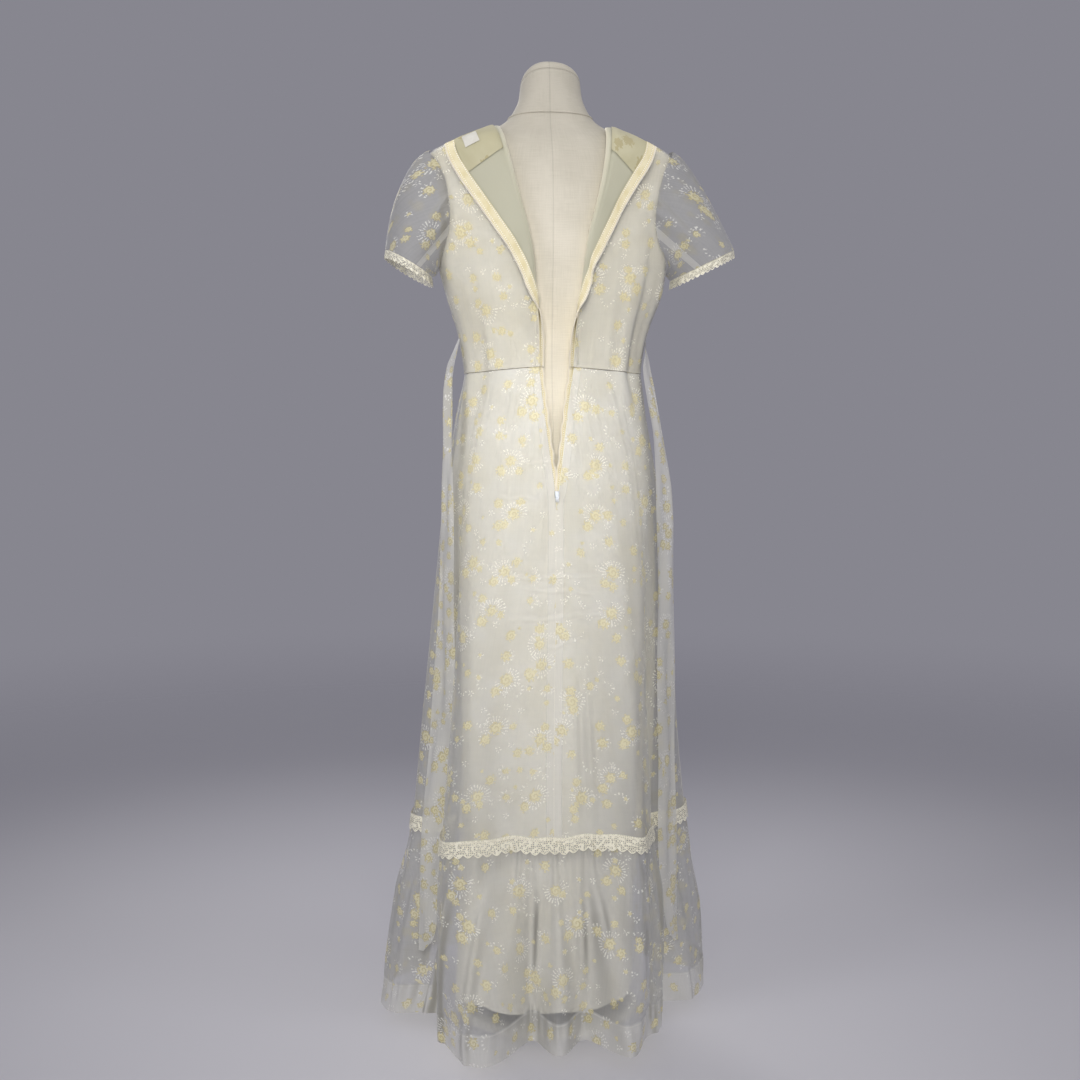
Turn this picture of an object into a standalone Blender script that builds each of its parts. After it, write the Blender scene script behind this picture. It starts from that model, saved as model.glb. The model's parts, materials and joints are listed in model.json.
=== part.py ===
"""A long prairie dress of printed organza on a limbless dress form.

Metres, +Z up. The origin is the centre of the underside of the stand's base.
The wearer faces +Y, so the open zip at the back faces -Y, and +X is the wearer's right.
Every cloth piece is a thin wall on a grid of points worked out from the sections below.
"""
import math

import bmesh
import bpy
import numpy as np
from mathutils import Matrix

MM = 0.001
CLOTH = 1.0 * MM          # thickness of each cloth wall
LAYER = 0.85 * MM         # half the distance between an overlay and its lining
FACING_LAYER = 2.5 * MM   # facing and zip tape, beyond the lining
SEAM = 0.4 * MM           # half the gap between two pieces that are sewn together
REST = 0.3 * MM           # gap between hard pieces that touch

WAIST = 1.041
NECK_POINT = 1.4075
LACE_SEAM = 0.326
HEM_LEVEL = 0.026
LINING_HEM = 0.045
SLIDER_LEVEL = 0.850

ARMHOLE_TOP = 1.373
ARMHOLE_BOTTOM = 1.193
ARMHOLE_HALF_ANGLE = math.radians(23)

RUFFLE_GATHERS = 96
RUFFLE_ROWS = (0.262, 0.150)
GATHER_HEIGHT = 3.4 * MM
GATHER_LOSS = 0.62        # share of that height the gathers lose by the hem
HEM_SWING = 0.12          # how far the hem rises or drops for each metre of a fold
LACE_SCALLOPS = 96
LACE_ABOVE = 7 * MM       # the lace's own edge, above the seam it covers
LACE_BELOW = 16 * MM
LACE_LIFT_TOP = 3.2 * MM
LACE_LIFT_LOW = 6.7 * MM
SCALLOP_CUT = 3.2 * MM
SLEEVE_GATHERS = 13
SLEEVE_GATHER_HEIGHT = 2.6 * MM
SLEEVE_GATHER_LOSS = 0.4
SLEEVE_CAP = 0.35         # how far below the arm's middle the puff and gathers reach
SLEEVE_SWELL = 2.6        # shape of the puff: its size and how near the shoulder it peaks
SLEEVE_PEAK = 0.7
SLEEVE_LACE_SCALLOPS = 20
SLEEVE_LACE_DEPTH = 14 * MM
SLEEVE_LACE_CUT = 0.18    # share of that depth between scallops

POLE_RADIUS = 0.0125
BASE_RADIUS = 0.150
BASE_THICKNESS = 0.014


def table(columns, rows):
    """A table with named columns, each an array."""
    return {name: np.array([row[i] for row in rows], float)
            for i, name in enumerate(columns.split())}


# The dress form's sections, from the hips to the neck; lean tilts a section forward.
FORM = table("height half back front lean", [
    (0.800, 0.148, 0.098, 0.090, 0.00),
    (0.850, 0.156, 0.108, 0.098, 0.00),
    (0.910, 0.148, 0.106, 0.100, 0.00),
    (0.970, 0.132, 0.096, 0.096, 0.00),
    (1.041, 0.118, 0.084, 0.090, 0.00),
    (1.100, 0.127, 0.088, 0.099, 0.00),
    (1.160, 0.143, 0.095, 0.120, 0.00),
    (1.215, 0.153, 0.100, 0.135, 0.00),
    (1.275, 0.164, 0.102, 0.122, 0.00),
    (1.330, 0.178, 0.098, 0.100, 0.00),
    (1.366, 0.178, 0.089, 0.083, 0.00),
    (1.388, 0.150, 0.078, 0.070, 0.00),
    (1.4075, 0.096, 0.064, 0.058, 0.00),
    (1.420, 0.072, 0.058, 0.053, 0.05),
    (1.434, 0.060, 0.055, 0.050, 0.10),
    (1.454, 0.050, 0.050, 0.048, 0.30),
    (1.4735, 0.047, 0.047, 0.045, 0.50),
])
FORM_CENTRE = 0.006
CAP_HEIGHT = 0.027
CAP_GAP = 0.7 * MM
CAP_SHARES = (0.0, 0.35, 0.65, 0.88)
FORM_STEP = 11.25         # degrees between the form's points

# How far the bodice stands off the form at each height.
EASE = table("height left right back front", [
    (1.041, 0.017, 0.023, 0.014, 0.008),
    (1.085, 0.018, 0.024, 0.013, 0.007),
    (1.125, 0.020, 0.030, 0.011, 0.006),
    (1.165, 0.022, 0.034, 0.009, 0.006),
    (1.205, 0.026, 0.034, 0.008, 0.006),
    (1.245, 0.028, 0.032, 0.007, 0.007),
    (1.285, 0.026, 0.030, 0.006, 0.008),
    (1.325, 0.016, 0.022, 0.006, 0.006),
    (1.366, 0.014, 0.016, 0.006, 0.006),
    (1.388, 0.010, 0.011, 0.010, 0.007),
    (1.4075, 0.0060, 0.0060, 0.0078, 0.0050),
])

# The back opening at each height: where each side rolls outward and how far round it turns,
# and the free edge of the lapel: how far across, how far below and how far off the back.
OPENING = table("height roll_left roll_right turn edge_left edge_right fall lift", [
    (1.4075, -0.079, 0.087, 180, -0.158, 0.155, 0.0295, 0.017),
    (1.388, -0.075, 0.0850, 180, -0.150, 0.146, 0.0340, 0.015),
    (1.366, -0.070, 0.083, 180, -0.134, 0.127, 0.0420, 0.012),
    (1.325, -0.061, 0.076, 178, -0.111, 0.106, 0.0350, 0.010),
    (1.285, -0.051, 0.067, 172, -0.0875, 0.088, 0.0300, 0.010),
    (1.245, -0.041, 0.057, 165, -0.065, 0.072, 0.0230, 0.010),
    (1.205, -0.034, 0.051, 150, -0.048, 0.057, 0.0150, 0.010),
    (1.165, -0.031, 0.0465, 120, -0.036, 0.0500, 0.0090, 0.013),
    (1.125, -0.029, 0.0425, 80, -0.0245, 0.0385, 0.0030, 0.011),
    (1.085, -0.0275, 0.0395, 40, -0.0215, 0.0335, 0.0000, 0.005),
    (WAIST + SEAM, -0.0265, 0.0375, 12, -0.0205, 0.0315, 0.0000, 0.001),
])
ROLL_RADIUS = 5.0 * MM
FOLDED_BACK = 140         # past this turn the lapel lies on the back
TAPE_LAP = 6.5 * MM       # how far the zip's tape lies on the cloth
TAPE_EDGE = 5.0 * MM      # and how far it shows past the cloth's edge
TAPE_DEPTH = 3.2 * MM     # how far inside the skirt's lining it lies
NECK_SCOOP = 0.030        # how far the front neckline dips

# The skirt's sections without folds.
SKIRT = table("height left right back front", [
    (WAIST - SEAM, 0.129, 0.147, 0.098, 0.098),
    (0.985, 0.139, 0.156, 0.113, 0.108),
    (0.930, 0.148, 0.165, 0.127, 0.116),
    (0.850, 0.160, 0.178, 0.143, 0.126),
    (0.740, 0.172, 0.192, 0.156, 0.140),
    (0.610, 0.184, 0.203, 0.168, 0.154),
    (0.470, 0.197, 0.212, 0.177, 0.167),
    (LACE_SEAM + SEAM, 0.210, 0.226, 0.187, 0.180),
    (0.200, 0.234, 0.243, 0.212, 0.205),
    (0.075, 0.257, 0.256, 0.240, 0.230),
    (HEM_LEVEL, 0.264, 0.260, 0.247, 0.238),
])
SKIRT_LINING = table("height left right back front", [
    (WAIST - SEAM, 0.1270, 0.1450, 0.0960, 0.0960),
    (0.985, 0.1355, 0.1525, 0.1095, 0.1045),
    (0.930, 0.143, 0.160, 0.1225, 0.1115),
    (SLIDER_LEVEL, 0.152, 0.167, 0.1370, 0.1180),
    (0.740, 0.154, 0.163, 0.1460, 0.1240),
    (0.500, 0.148, 0.152, 0.152, 0.134),
    (LACE_SEAM, 0.142, 0.143, 0.155, 0.140),
    (LINING_HEM, 0.136, 0.138, 0.158, 0.144),
])

# The zip's opening below the waist, and the seam down the centre of the back.
BACK_SEAM = table("height left right", [
    (WAIST - SEAM, -0.0215, 0.0325),
    (0.985, -0.0165, 0.0225),
    (0.930, -0.0110, 0.0150),
    (SLIDER_LEVEL, -0.0016, 0.0034),
    (0.740, -0.0022, -0.0012),
    (0.470, -0.0070, -0.0060),
    (LACE_SEAM, -0.0080, -0.0070),
    (LINING_HEM, -0.0085, -0.0075),
])

# The skirt's large folds: where each lies at the hip, lace and hem, in degrees round the
# axis, its half width, and how far it stands out (+) or in (-) at those three levels.
FOLDS = table("at_hip at_lace at_hem wide hip lace hem", [
    (-128, -130, -115, 13, 0.003, 0.050, 0.058),
    (-158, -155, -149, 11, -0.006, -0.052, -0.052),
    (-172, -172, -168, 9, 0.002, 0.010, 0.010),
    (-104, -103, -102, 7, 0.000, -0.002, -0.052),
    (-92, -91, -92, 7, 0.000, -0.003, 0.028),
    (-80, -80, -81, 7, 0.000, 0.002, -0.029),
    (-56, -58, -71, 7.5, 0.003, 0.026, 0.048),
    (-28, -25, -33, 14, -0.006, -0.060, -0.076),
    (0, 2, 8, 12, 0.002, 0.006, 0.008),
    (30, 28, 30, 12, -0.004, -0.030, -0.050),
    (56, 54, 52, 12, 0.002, 0.016, 0.040),
    (78, 76, 74, 8, 0.000, -0.004, -0.030),
    (92, 92, 92, 9, 0.000, 0.004, 0.030),
    (108, 108, 110, 8, 0.000, -0.006, -0.030),
    (128, 128, 130, 12, 0.002, 0.018, 0.042),
    (152, 152, 152, 12, -0.004, -0.034, -0.048),
])

# Soft folds of the bodice near its side seams, deepest at the waist.
BODICE_FOLDS_END = 1.30
BODICE_FOLDS_FULL = 1.24
BODICE_FOLDS = table("angle wide waist bust", [
    (-12, 5, 0.004, 0.002),
    (-23, 5, -0.006, -0.002),
    (-33, 5, 0.005, 0.002),
    (-150, 6, -0.004, -0.001),
    (-164, 6, 0.004, 0.001),
    (24, 6, -0.005, -0.002),
    (156, 6, -0.005, -0.002),
])

# Sleeve hems: outer end, underarm end and height of the puffed cap, side by side.
SLEEVES = table("side tip_x tip_z under_x under_z puff", [
    (-1, -0.253, 1.224, -0.180, 1.181, 0.024),
    (1, 0.300, 1.229, 0.200, 1.180, 0.012),
])
SLEEVE_HALF_DEPTH = 0.064
SLEEVE_STAND_OFF = 2.4 * MM

# The ties from the side seams: where their two edges hang at each height.
TIE_LEFT = table("height x_outer y_outer x_inner y_inner", [
    (1.086, -0.1392, -0.006, -0.1380, -0.025),
    (1.062, -0.150, -0.014, -0.144, -0.037),
    (1.040, -0.159, -0.020, -0.149, -0.045),
    (1.000, -0.164, -0.032, -0.153, -0.060),
    (0.930, -0.166, -0.049, -0.154, -0.076),
    (0.850, -0.168, -0.058, -0.154, -0.090),
    (0.740, -0.173, -0.062, -0.153, -0.106),
    (0.610, -0.179, -0.059, -0.153, -0.107),
    (0.470, -0.190, -0.058, -0.155, -0.098),
    (0.326, -0.203, -0.067, -0.168, -0.104),
    (0.230, -0.208, -0.077, -0.176, -0.111),
    (0.160, -0.210, -0.089, -0.187, -0.118),
    (0.132, -0.211, -0.097, -0.204, -0.103),
])
TIE_RIGHT = table("height x_outer y_outer x_inner y_inner", [
    (1.082, 0.1562, -0.005, 0.1560, -0.028),
    (1.060, 0.161, -0.016, 0.152, -0.040),
    (1.038, 0.164, -0.025, 0.148, -0.048),
    (1.000, 0.171, -0.034, 0.151, -0.057),
    (0.930, 0.182, -0.044, 0.161, -0.070),
    (0.850, 0.193, -0.050, 0.165, -0.080),
    (0.740, 0.199, -0.048, 0.166, -0.086),
    (0.610, 0.201, -0.048, 0.167, -0.088),
    (0.470, 0.203, -0.048, 0.168, -0.088),
    (0.326, 0.205, -0.053, 0.169, -0.092),
    (0.230, 0.204, -0.067, 0.172, -0.099),
    (0.160, 0.203, -0.081, 0.181, -0.105),
    (0.130, 0.203, -0.087, 0.196, -0.093),
])
TIE_CLOTH = 1.4 * MM      # two layers sewn together
TIE_COLUMNS = 4

# The label's place on the left lapel: rows and columns of that grid.
LABEL_ROWS = (0.12, 0.85)
LABEL_COLUMNS = (13.35, 14.35)
LABEL_LIFT = 1.6 * MM
LABEL_CLOTH = 0.8 * MM

SLIDER_X = 0.9 * MM
SLIDER_GAP = 0.7 * MM
SLIDER_DROP = 2 * MM
SLIDER = {"width": 7 * MM, "depth": 2.4 * MM, "length": 10 * MM}
CROWN = {"width": 1.2 * MM, "length": 7 * MM, "inside": 1.5 * MM, "wall": 0.8 * MM}
TAB = {"width": 4.8 * MM, "length": 13.5 * MM, "thick": 0.8 * MM, "bar": 0.45 * MM,
       "window": 2.2 * MM, "window_length": 6.6 * MM, "eye": 0.9 * MM, "eye_rise": 2.2 * MM,
       "play": 0.75 * MM}
SLIDER_LEAN = math.radians(8.5)

COLOURS = {
    "organza": (0.74, 0.74, 0.70), "lining": (0.78, 0.75, 0.62), "facing": (0.70, 0.66, 0.45),
    "lace": (0.80, 0.76, 0.62), "tape": (0.82, 0.75, 0.55), "linen": (0.78, 0.76, 0.70),
    "metal": (0.55, 0.58, 0.62), "label": (0.85, 0.84, 0.80), "stand": (0.70, 0.69, 0.66),
}


def smooth(knots, values, x):
    """A smooth curve through the knots that never overshoots them."""
    order = np.argsort(knots)
    xs = np.asarray(knots, float)[order]
    ys = np.asarray(values, float)[order]
    steps = np.diff(xs)
    slopes = np.diff(ys) / steps
    tangents = np.zeros_like(ys)
    tangents[0] = slopes[0]
    tangents[-1] = slopes[-1]
    same_way = slopes[:-1] * slopes[1:] > 0
    weights = 2 / (1 / np.where(same_way, slopes[:-1], 1) + 1 / np.where(same_way, slopes[1:], 1))
    tangents[1:-1] = np.where(same_way, weights, 0)
    x = np.clip(x, xs[0], xs[-1])
    i = np.clip(np.searchsorted(xs, x) - 1, 0, len(steps) - 1)
    t = (x - xs[i]) / steps[i]
    return ((1 + 2 * t) * (1 - t) ** 2 * ys[i] + t * (1 - t) ** 2 * steps[i] * tangents[i]
            + t * t * (3 - 2 * t) * ys[i + 1] - t * t * (1 - t) * steps[i] * tangents[i + 1])


def column(rows, name, height):
    return smooth(rows["height"], rows[name], height)


def oval(theta, left, right, back, front, power=2.3):
    """Distance from the axis to a rounded oval, at angle theta."""
    across = np.where(np.cos(theta) > 0, right, left)
    deep = np.where(np.sin(theta) > 0, front, back)
    total = np.abs(np.cos(theta) / across) ** power + np.abs(np.sin(theta) / deep) ** power
    return total ** (-1 / power)


def form_oval(theta, height, ease=(0, 0, 0, 0)):
    half = column(FORM, "half", height)
    return oval(theta, half - FORM_CENTRE + ease[0], half + FORM_CENTRE + ease[1],
                column(FORM, "back", height) + ease[2], column(FORM, "front", height) + ease[3])


def angle_off(theta, degrees):
    """Signed angle from a fold's middle, in degrees."""
    return (np.degrees(theta) - degrees + 180) % 360 - 180


def bodice_radius(theta, height):
    ease = [column(EASE, side, height) for side in ("left", "right", "back", "front")]
    radius = form_oval(theta, height, ease)
    share = np.clip((BODICE_FOLDS_FULL - height) / (BODICE_FOLDS_FULL - WAIST), 0, 1)
    fade = np.clip((BODICE_FOLDS_END - height) / (BODICE_FOLDS_END - BODICE_FOLDS_FULL), 0, 1)
    for angle, wide, waist, bust in zip(*BODICE_FOLDS.values()):
        depth = (waist * share + bust * (1 - share)) * fade
        radius = radius + depth * np.exp(-(angle_off(theta, angle) / wide) ** 2)
    return radius


def skirt_radius(theta, height):
    radius = oval(theta, *[column(SKIRT, side, height) for side in ("left", "right", "back", "front")])
    levels = [HEM_LEVEL, LACE_SEAM, SLIDER_LEVEL, WAIST]
    for hip_at, lace_at, hem_at, wide, hip, lace, hem in zip(*FOLDS.values()):
        middle = smooth(levels, [hem_at, lace_at, hip_at, hip_at], height)
        depth = smooth(levels, [hem, lace, hip, 0], height)
        radius = radius + depth * np.exp(-(angle_off(theta, middle) / wide) ** 2)
    return radius


def lining_radius(theta, height):
    return oval(theta, *[column(SKIRT_LINING, side, height)
                         for side in ("left", "right", "back", "front")])


def around(theta, radius, height):
    """Points from angles, radii and heights."""
    theta, radius, height = np.broadcast_arrays(theta, radius, height)
    return np.stack([radius * np.cos(theta), radius * np.sin(theta), height], -1)


def angle_at(radius_of, x, height):
    """Angle on the back half at which a section reaches x."""
    low, high = -math.pi, 0.0
    for _ in range(40):
        middle = (low + high) / 2
        if radius_of(middle, height) * math.cos(middle) < x:
            low = middle
        else:
            high = middle
    return middle


def surface_normal(radius_of, theta, height):
    """Outward normals of a surface of sections."""
    step = 0.5 * MM
    here = around(theta, radius_of(theta, height), height)
    turned = around(theta + 0.01, radius_of(theta + 0.01, height), height)
    raised = around(theta, radius_of(theta, height + step), height + step)
    normals = np.cross(turned - here, raised - here)
    return normals / np.linalg.norm(normals, axis=-1, keepdims=True)


def grid_normals(points, closed=False):
    if closed:
        across = np.roll(points, -1, 1) - np.roll(points, 1, 1)
    else:
        across = np.gradient(points, axis=1)
    normals = np.cross(across, np.gradient(points, axis=0))
    return normals / np.linalg.norm(normals, axis=-1, keepdims=True)


def moved(points, distance, closed=False):
    """The same grid, moved along its own normals."""
    return points + grid_normals(points, closed) * distance


def new_material(name, roughness=0.8, metallic=0.0):
    material = bpy.data.materials.get(name)
    if material is None:
        material = bpy.data.materials.new(name)
        material.use_nodes = True
        shader = material.node_tree.nodes["Principled BSDF"]
        shader.inputs["Base Color"].default_value = (*COLOURS[name], 1)
        shader.inputs["Roughness"].default_value = roughness
        shader.inputs["Metallic"].default_value = metallic
    return material


def add_object(name, mesh, material, collection):
    mesh.name = name
    piece = bpy.data.objects.new(name, mesh)
    collection.objects.link(piece)
    mesh.materials.clear()
    mesh.materials.append(material)
    return piece


def grid_mesh(points, closed=False):
    """An open mesh of triangles over a grid of points."""
    rows, columns = points.shape[:2]
    last = columns if closed else columns - 1
    faces = []
    for r in range(rows - 1):
        for c in range(last):
            a = r * columns + c
            b = r * columns + (c + 1) % columns
            faces.append((a, b, b + columns))
            faces.append((a, b + columns, a + columns))
    mesh = bpy.data.meshes.new("grid")
    mesh.from_pydata(points.reshape(-1, 3).tolist(), [], faces)
    mesh.update()
    return mesh


def cloth(name, points, kind, collection, closed=False, thickness=CLOTH):
    """A cloth wall: an open grid given its thickness by Solidify."""
    mesh = grid_mesh(points, closed)
    mesh.shade_smooth()
    piece = add_object(name, mesh, new_material(kind), collection)
    wall = piece.modifiers.new("Thickness", "SOLIDIFY")
    wall.thickness = thickness
    wall.offset = 0
    return piece


def skin(name, points, kind, collection):
    """A solid between stacked closed sections, capped at both ends."""
    rows, columns = points.shape[:2]
    mesh = grid_mesh(points, closed=True)
    body = bmesh.new()
    body.from_mesh(mesh)
    bmesh.ops.holes_fill(body, edges=[e for e in body.edges if e.is_boundary], sides=0)
    bmesh.ops.recalc_face_normals(body, faces=body.faces)
    body.to_mesh(mesh)
    body.free()
    mesh.shade_smooth()
    return add_object(name, mesh, new_material(kind), collection)


def dress_form(collection):
    theta = np.radians(np.arange(0, 360, FORM_STEP))
    rings = []
    for height, lean in zip(FORM["height"], FORM["lean"]):
        ring = around(theta, form_oval(theta, height), height)
        ring[:, 2] -= lean * ring[:, 1]
        rings.append(ring)
    skin("form_torso", np.array(rings), "linen", collection)

    lean = FORM["lean"][-1]
    rings = []
    for share in CAP_SHARES:
        size = math.sqrt(1 - share ** 2)
        height = FORM["height"][-1] + CAP_GAP + share * CAP_HEIGHT
        ring = around(theta, form_oval(theta, FORM["height"][-1]) * size, height)
        ring[:, 2] -= lean * ring[:, 1]
        rings.append(ring)
    skin("form_neck_cap", np.array(rings), "linen", collection)


def stand(collection):
    top = FORM["height"][0] - REST
    foot = BASE_THICKNESS + REST
    bpy.ops.mesh.primitive_cylinder_add(vertices=24, radius=POLE_RADIUS, depth=top - foot,
                                        location=(FORM_CENTRE, 0, (top + foot) / 2))
    pole = bpy.context.object
    pole.name = "stand_pole"
    add_to(pole, collection, "metal")

    profile = [(0.0, BASE_THICKNESS), (0.055, BASE_THICKNESS), (0.110, 0.011), (0.142, 0.0085),
               (BASE_RADIUS, 0.005), (BASE_RADIUS, 0.0), (0.0, 0.0)]
    mesh = bpy.data.meshes.new("stand_base")
    mesh.from_pydata([(x, 0, z) for x, z in profile], [(i, i + 1) for i in range(len(profile) - 1)], [])
    base = add_object("stand_base", mesh, new_material("stand"), collection)
    turn = base.modifiers.new("Turned", "SCREW")
    turn.steps = turn.render_steps = 32
    turn.use_merge_vertices = True
    turn.merge_threshold = 0.00001
    turn.use_smooth_shade = True


def add_to(piece, collection, kind, roughness=0.35, metallic=1.0):
    for owner in list(piece.users_collection):
        owner.objects.unlink(piece)
    collection.objects.link(piece)
    piece.data.materials.clear()
    piece.data.materials.append(new_material(kind, roughness, metallic))


def armhole_start(height):
    """Angle from the side seam at which a panel starts, wider at the armhole."""
    middle = (ARMHOLE_TOP + ARMHOLE_BOTTOM) / 2
    share = (height - middle) / (ARMHOLE_TOP - middle)
    open_angle = ARMHOLE_HALF_ANGLE * math.sqrt(max(0.0, 1 - share ** 2))
    return open_angle + SEAM / float(bodice_radius(0.0, height))


PANEL_COLUMNS = 9
PANEL_SPREAD = 1.25       # brings the columns closer together at the side seam
TURN_COLUMNS = 4
LAPEL_COLUMNS = 4
BACK_REACH = 0.85         # share of the half width up to which a lapel follows the back
FACING_SHORT = 0.05       # share of the last column by which the facing stops short


def back_depth(x, height):
    """How far back the bodice lies at x, held short of the side."""
    side = -math.pi if x < 0 else 0.0
    half = float(bodice_radius(side, height))
    reach = min(abs(x), BACK_REACH * half) * (1 if x > 0 else -1)
    angle = angle_at(bodice_radius, reach, height)
    return float(bodice_radius(angle, height)) * math.sin(angle)


def back_panel(side):
    """Grid of one back bodice piece: panel, roll and the lapel that lies on it."""
    label = "left" if side < 0 else "right"
    rows = []
    for i, height in enumerate(OPENING["height"]):
        turn = math.radians(OPENING["turn"][i])
        roll = angle_at(bodice_radius, OPENING["roll_" + label][i], height)
        start = -armhole_start(height) if side > 0 else -math.pi + armhole_start(height)
        theta = start + (roll - start) * np.linspace(0, 1, PANEL_COLUMNS) ** PANEL_SPREAD
        row = list(around(theta, bodice_radius(theta, height), height))
        radius = float(bodice_radius(roll, height))
        for k in range(1, TURN_COLUMNS + 1):
            t = turn * k / TURN_COLUMNS
            angle = roll - side * ROLL_RADIUS * math.sin(t) / radius
            row.append(around(angle, radius + ROLL_RADIUS * (1 - math.cos(t)), height))
        edge_x = OPENING["edge_" + label][i]
        level = height - OPENING["fall"][i]
        edge = np.array([edge_x, back_depth(edge_x, level) - OPENING["lift"][i], level])
        rolled = row[-1]
        length = float(np.linalg.norm(edge - rolled))
        taped = 1 - min(TAPE_LAP / length, 0.5)
        for share in (*np.linspace(0, taped, LAPEL_COLUMNS)[1:], 1.0):
            point = rolled + (edge - rolled) * share
            if OPENING["turn"][i] > FOLDED_BACK:
                clear = back_depth(point[0], point[2]) - OPENING["lift"][i]
                point[1] = min(point[1], clear)
            row.append(point)
        rows.append(row)
    return np.array(rows)


def back_bodice(side, collection):
    label = "left" if side < 0 else "right"
    base = back_panel(side)
    first = PANEL_COLUMNS + TURN_COLUMNS - 1
    cloth("bodice_back_" + label, moved(base, LAYER * side), "organza", collection)
    cloth("bodice_lining_back_" + label, moved(base, -LAYER * side), "lining", collection)
    inner = moved(base, -FACING_LAYER * side)
    faced = inner[:3, first:-1].copy()
    faced[:, -1] += (faced[:, -2] - faced[:, -1]) * FACING_SHORT
    cloth("neck_facing_" + label, faced, "facing", collection)
    return inner


def bodice_front(collection, columns=18):
    heights = OPENING["height"]
    rows = []
    for height in heights:
        gap = armhole_start(height)
        theta = np.linspace(gap, math.pi - gap, columns)
        scoop = NECK_SCOOP * np.clip((height - 1.33) / (NECK_POINT - 1.33), 0, 1)
        level = height - scoop * np.sin(theta) ** 4
        rows.append(around(theta, bodice_radius(theta, level), level))
    base = np.array(rows)
    cloth("bodice_front", moved(base, -LAYER), "organza", collection)
    cloth("bodice_lining_front", moved(base, LAYER), "lining", collection)


def sleeve_loops(index):
    """A sleeve's armhole loop and hem loop, as functions of the angle round the arm."""
    row = {name: values[index] for name, values in SLEEVES.items()}
    side = row["side"]
    middle = (ARMHOLE_TOP + ARMHOLE_BOTTOM) / 2
    tall = (ARMHOLE_TOP - ARMHOLE_BOTTOM) / 2
    tip = np.array([row["tip_x"], 0, row["tip_z"]])
    under = np.array([row["under_x"], 0, row["under_z"]])

    def armhole(phi):
        level = middle + (tall + 0.002) * np.cos(phi)
        swing = (ARMHOLE_HALF_ANGLE + 0.02) * np.sin(phi)
        theta = -swing if side > 0 else math.pi + swing
        points = around(theta, bodice_radius(theta, level), level)
        return points + surface_normal(bodice_radius, theta, level) * SLEEVE_STAND_OFF

    def hem(phi):
        out = (tip - under) / 2
        deep = np.array([0, -SLEEVE_HALF_DEPTH, 0])
        return (tip + under) / 2 + np.multiply.outer(np.cos(phi), out) + np.multiply.outer(np.sin(phi), deep)

    return side, row["puff"], armhole, hem


def sleeve(index, collection, rows=5):
    side, puff, armhole, hem = sleeve_loops(index)
    label = "left" if side < 0 else "right"
    count = SLEEVE_GATHERS * 2 + 6
    phi = np.arange(count) / count * 2 * math.pi
    top, bottom = armhole(phi), hem(phi)
    run = hem(0.0) - armhole(0.0)
    push = np.array([-run[2], 0, run[0]]) * (1 if side > 0 else -1)
    push = push / np.linalg.norm(push) * (1 if push[2] > 0 else -1)
    directions = np.multiply.outer(np.cos(phi), push) + np.multiply.outer(np.sin(phi), np.array([0, -1.0, 0]))
    upper = np.clip(np.cos(phi) + SLEEVE_CAP, 0, 1)
    gather = np.where(np.arange(count) % 2 == 0, SLEEVE_GATHER_HEIGHT, 0.0) * upper
    grid = []
    for share in np.linspace(0, 1, rows):
        swell = puff * SLEEVE_SWELL * share ** SLEEVE_PEAK * (1 - share) * upper
        crease = (1 - SLEEVE_GATHER_LOSS * share) * gather
        line = top + (bottom - top) * share
        grid.append(line + directions * (swell + crease)[:, None])
    grid = np.array(grid)
    cloth("sleeve_" + label, grid, "organza", collection, closed=True)

    scallops = SLEEVE_LACE_SCALLOPS * 2
    phi = np.arange(scallops) / scallops * 2 * math.pi
    edge = hem(phi)
    edge[:, 2] -= SEAM * 2
    spread = np.multiply.outer(np.cos(phi), (hem(0.0) - hem(math.pi)) / 2) \
        + np.multiply.outer(np.sin(phi), np.array([0, -SLEEVE_HALF_DEPTH, 0]))
    spread = spread / np.linalg.norm(spread, axis=1, keepdims=True)
    drop = np.where(np.arange(scallops) % 2 == 0, 1.0, 1 - SLEEVE_LACE_CUT) * SLEEVE_LACE_DEPTH
    low = edge + spread * CLOTH
    low[:, 2] -= drop
    cloth("sleeve_lace_" + label, np.array([edge, low]), "lace", collection, closed=True)


def seam_angle(radius_of, label, height):
    """Angle of the centre back edge, on the zip's opening or the seam."""
    x = float(column(BACK_SEAM, label, height))
    return angle_at(radius_of, x, height)


def skirt_panel(part, heights, radius_of, columns):
    """Grid of one skirt panel between its seams."""
    rows = []
    for height in heights:
        gap = SEAM / float(radius_of(0.0, height))
        if part == "left":
            theta = np.linspace(-math.pi + gap, seam_angle(radius_of, "left", height), columns)
        elif part == "right":
            theta = np.linspace(seam_angle(radius_of, "right", height), -gap, columns)
        else:
            theta = np.linspace(gap, math.pi - gap, columns)
        rows.append(around(theta, radius_of(theta, height), height))
    return np.array(rows)


def skirt(collection):
    heights = [h for h in SKIRT["height"] if h > LACE_SEAM]
    lining_heights = SKIRT_LINING["height"]
    for part, columns, lining_columns in (("left", 23, 10), ("right", 23, 10), ("front", 36, 17)):
        name = "front" if part == "front" else "back_" + part
        cloth("skirt_" + name, skirt_panel(part, heights, skirt_radius, columns), "organza", collection)
        cloth("skirt_lining_" + name, skirt_panel(part, lining_heights, lining_radius, lining_columns),
              "lining", collection)


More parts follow.
